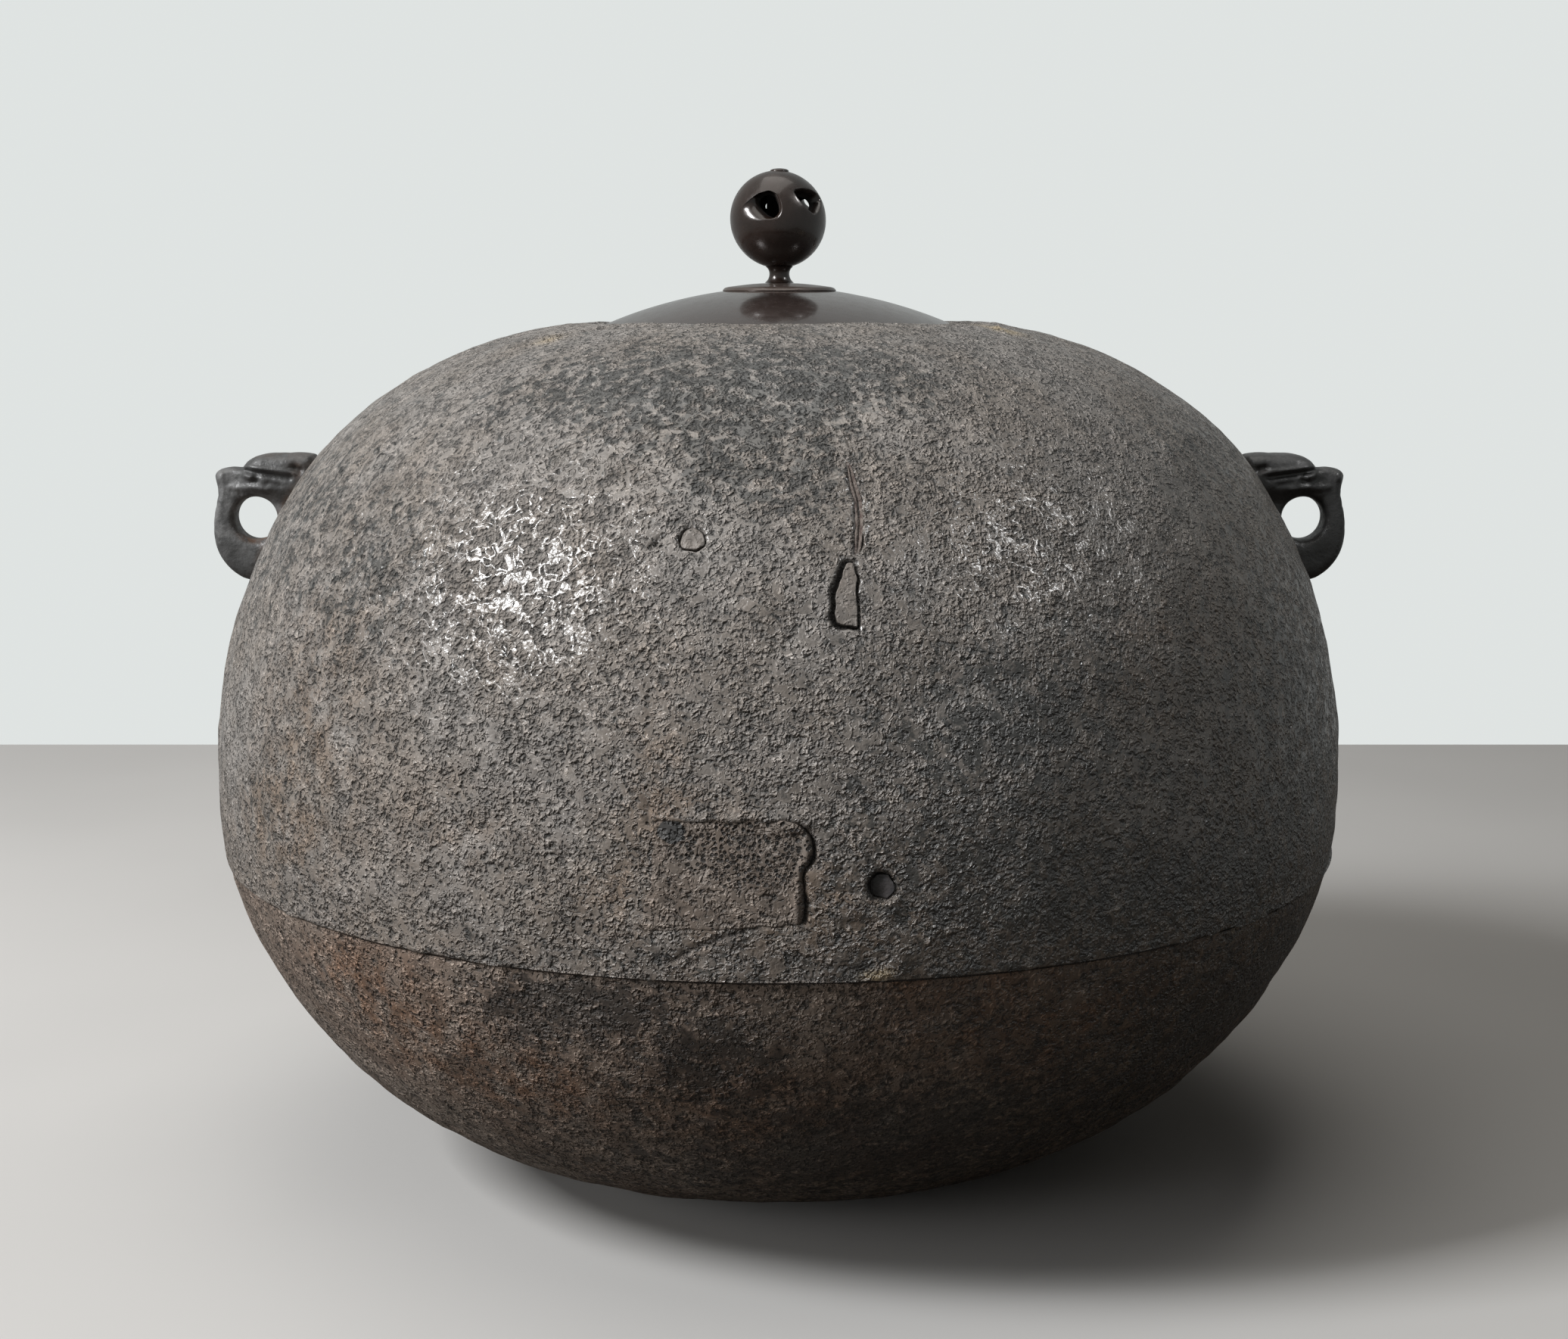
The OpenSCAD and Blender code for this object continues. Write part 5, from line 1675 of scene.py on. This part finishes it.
@dataclass
class SingingPlates:
    """Small iron plates on the floor of the pan, each in a bed of lacquer, that make the water sing.

    Attributes:
        ring_r: Distance of a plate's middle from the axis.
        length: Length of a plate.
        width: Width of a plate.
        thickness: Thickness of a plate.
        pad_t: Thickness of the lacquer.
        margin: Margin of the lacquer round a plate.
    """

    ring_r: float = 17.0
    length: float = 17.0
    width: float = 11.0
    thickness: float = 1.2
    pad_t: float = 0.6
    margin: float = 1.0

    def slab(self, number: int, low: float, half: tuple[float, float, float], power: float, lumps: Lumps) -> Skin:
        """Rounded slab: a superellipsoid of high power, turned to its place on the floor.

        Args:
            number: Which of the three places.
            low: Height of its underside.
            half: Half sizes outward, along and up.
            power: How square it is.
            lumps: Unevenness of its skin.

        Returns:
            The closed skin.
        """
        lat = np.linspace(-math.pi / 2, math.pi / 2, 26)[1:-1, None]
        lon = np.linspace(0.0, 2.0 * math.pi, 96, endpoint=False)[None]
        e, flat_e = 2.0 / power, 0.5
        x = half[0] * signed_power(np.cos(lat), flat_e) * signed_power(np.cos(lon), e)
        y = half[1] * signed_power(np.cos(lat), flat_e) * signed_power(np.sin(lon), e)
        z = low + half[2] * (1.0 + signed_power(np.sin(lat), flat_e))
        grid = np.stack(np.broadcast_arrays(x + self.ring_r, y, z), -1)
        dent = np.minimum(lumps.at(grid) - 0.05, 0.0) * smooth(low + 0.3 * half[2], low + half[2], z)
        grid[..., 2] += dent
        turn = math.radians(90.0 + 120.0 * number)
        c, s = math.cos(turn), math.sin(turn)
        grid = grid @ np.array([[c, s, 0.0], [-s, c, 0.0], [0.0, 0.0, 1.0]])
        return Skin().sheet(grid, ring=True, tips=(True, True), rust=np.full((1, 1), 0.7), groove=NO_MARK)

    def build(self) -> None:
        """Makes three plates and three beds."""
        for number in range(3):
            half = (self.width / 2, self.length / 2, self.thickness / 2)
            plate = self.slab(number, FORM.pan_wall + self.pad_t, half, 9.0, Lumps(5.0, 0.18, 70 + number))
            place_piece(plate.to_object(f"plate_{number + 1}"), "kettle", [f"singing_plate_{number + 1}"],
                        PLATE_IRON)
            half = (self.width / 2 + self.margin, self.length / 2 + self.margin, self.pad_t / 2)
            bed = self.slab(number, FORM.pan_wall, half, 6.0, Lumps(6.0, 0.05, 80 + number))
            place_piece(bed.to_object(f"lacquer_bed_{number + 1}"), "kettle", [f"lacquer_pad_{number + 1}"],
                        PAD_LACQUER)


@dataclass(frozen=True)
class SoftBox:
    """One soft lamp.

    Attributes:
        name: Name of the lamp.
        towards: Direction from the kettle to the lamp.
        distance: Distance in metres.
        size: Width and height in metres.
        power: Power in watts.
        colour: Colour of the light.
        mirrored: Whether glossy surfaces show the lamp's image.
        lights: Whether it lights dull surfaces too.
    """

    name: str
    towards: tuple[float, float, float]
    distance: float
    size: tuple[float, float]
    power: float
    colour: Colour = (1.0, 1.0, 1.0)
    mirrored: bool = True
    lights: bool = True


@dataclass
class Studio:
    """Camera, pale floor, pale surroundings and soft lamps.

    Attributes:
        camera_at: Place of the camera.
        tilt: How far it looks down, in degrees.
        focal_px: Focal length in pixels of the picture.
        floor_half: Half sizes of the floor in metres.
        floor_colour: Colour of the floor as the camera sees it.
        floor_shade: Colour of the floor for the light that it throws back.
        floor_gloss: Share of the seen colour in reflections.
        sky: Colour of the surroundings as the camera sees them.
        sky_light: Colour of their light.
        sky_power: Strength of their light.
        sky_gloss: Share of the seen colour in reflections.
        aim_z: Height in metres that the lamps face.
        lamps: Soft lamps.
    """

    camera_at: tuple[float, float, float] = (1.04, -519.0, 194.4)
    tilt: float = 9.34
    focal_px: float = 3000.0
    floor_half: tuple[float, float] = (0.50, 0.46)
    floor_colour: Colour = (0.61, 0.60, 0.585)
    floor_shade: Colour = (0.05, 0.04, 0.03)
    floor_gloss: float = 0.16
    sky: Colour = (0.74, 0.77, 0.76)
    sky_light: Colour = (1.0, 0.96, 0.88)
    sky_power: float = 0.038
    sky_gloss: float = 0.45
    aim_z: float = 0.11
    lamps: tuple[SoftBox, ...] = (
        SoftBox("window", (-0.706, -0.345, 0.612), 1.3, (0.30, 0.40), 15.7, (0.98, 0.99, 1.0)),
        SoftBox("low_window", (-0.90, -0.42, 0.22), 2.7, (2.4, 0.9), 26.0, mirrored=False),
        SoftBox("far_window", (0.685, -0.26, 0.735), 1.6, (0.28, 0.22), 6.4, lights=False),
        SoftBox("ceiling", (-0.10, 0.04, 1.0), 1.6, (1.5, 1.2), 8.6, (1.0, 0.97, 0.92)),
    )

    def camera(self) -> None:
        """Sets the camera where the picture was taken from."""
        data = bpy.data.cameras.new("camera")
        data.sensor_fit = "HORIZONTAL"
        data.sensor_width = 36.0
        data.lens = 36.0 * self.focal_px / IMAGE_SIZE[0]
        data.clip_start = 0.01
        data.clip_end = 20.0
        camera = bpy.data.objects.new("camera", data)
        camera.location = [c * MM for c in self.camera_at]
        camera.rotation_euler = (math.radians(90.0 - self.tilt), 0.0, 0.0)
        bpy.context.scene.collection.objects.link(camera)
        bpy.context.scene.camera = camera

    def floor(self) -> None:
        """Pale floor under the kettle, a flat grid."""
        across, deep = np.meshgrid(*(np.linspace(-1.0, 1.0, 9) * half / MM for half in self.floor_half))
        grid = np.stack([across, deep, np.full(across.shape, -0.05)], -1)
        piece = Skin().sheet(grid).to_object("floor", closed=False)
        n = NodeBoard("pale_floor")
        path = n.node("ShaderNodeLightPath")
        tone = n.step(n.noise(300.0, 3.0), 0.3, 0.7, 0.95, 1.05)
        seen = n.mix(1.0, self.floor_colour, tone, "MULTIPLY")
        direct = n.math("MAXIMUM", path.outputs["Is Camera Ray"], path.outputs["Is Transmission Ray"])
        share = n.math("MAXIMUM", direct, n.times(path.outputs["Is Glossy Ray"], self.floor_gloss))
        colour = n.mix(share, self.floor_shade, seen)
        piece.data.materials.append(n.finish(colour, 0.85, None, ior=1.2))

    def world(self) -> None:
        """Pale surroundings for what the camera and reflections see, and gentler light for the rest."""
        world = bpy.data.worlds.new("surroundings")
        bpy.context.scene.world = world
        world.use_nodes = True
        tree = world.node_tree
        tree.nodes.clear()
        kinds = ("OutputWorld", "Background", "Background", "LightPath", "MixShader", "Math", "Math")
        out, seen, light, path, mix, direct, gloss = (tree.nodes.new(f"ShaderNode{kind}") for kind in kinds)
        for node, colour, power in ((seen, self.sky, 1.0), (light, self.sky_light, self.sky_power)):
            node.inputs["Color"].default_value = (*colour, 1.0)
            node.inputs["Strength"].default_value = power
        direct.operation, gloss.operation = "MAXIMUM", "MULTIPLY_ADD"
        gloss.use_clamp = True
        gloss.inputs[1].default_value = self.sky_gloss
        rays = path.outputs
        for start, end in ((rays["Is Camera Ray"], direct.inputs[0]), (rays["Is Transmission Ray"], direct.inputs[1]),
                           (rays["Is Glossy Ray"], gloss.inputs[0]), (direct.outputs[0], gloss.inputs[2]),
                           (gloss.outputs[0], mix.inputs[0]), (light.outputs[0], mix.inputs[1]),
                           (seen.outputs[0], mix.inputs[2]), (mix.outputs[0], out.inputs[0])):
            tree.links.new(start, end)

    def lamp(self, box: SoftBox) -> None:
        """Hangs one soft lamp so that it faces the kettle's middle."""
        data = bpy.data.lights.new(box.name, "AREA")
        data.shape = "RECTANGLE"
        data.size, data.size_y = box.size
        data.energy = box.power
        data.color = box.colour
        lamp = bpy.data.objects.new(box.name, data)
        way = np.array(box.towards) / np.linalg.norm(box.towards)
        lamp.location = way * box.distance + np.array([0.0, 0.0, self.aim_z])
        flat = math.hypot(way[0], way[1])
        lamp.rotation_euler = (math.atan2(flat, way[2]), 0.0, math.atan2(way[0], -way[1]))
        lamp.visible_camera = False
        lamp.visible_glossy = box.mirrored
        lamp.visible_diffuse = box.lights
        bpy.context.scene.collection.objects.link(lamp)

    def build(self) -> None:
        """Sets up the whole studio."""
        bpy.context.scene.view_settings.view_transform = "Standard"
        self.camera()
        self.floor()
        self.world()
        for box in self.lamps:
            self.lamp(box)


def dress_washer() -> None:
    """Gives the washer under the lid, which keeps its CAD shape, the disc's bronze."""
    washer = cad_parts["lid_washer"]
    washer.data.materials.clear()
    washer.data.materials.append(material_of(SEAT_BRONZE))


def main() -> None:
    """Builds the studio and every sub-assembly in order."""
    logging.basicConfig(level=logging.INFO, format="%(name)s: %(message)s")
    Studio().build()
    CastBody().build()
    BottomPan().build()
    for side in Side:
        RingLug(side).build()
    Repairs().build()
    lid = Lid()
    lid.build()
    Knob(lid).build()
    SingingPlates().build()
    dress_washer()


if __name__ == "__main__":
    main()
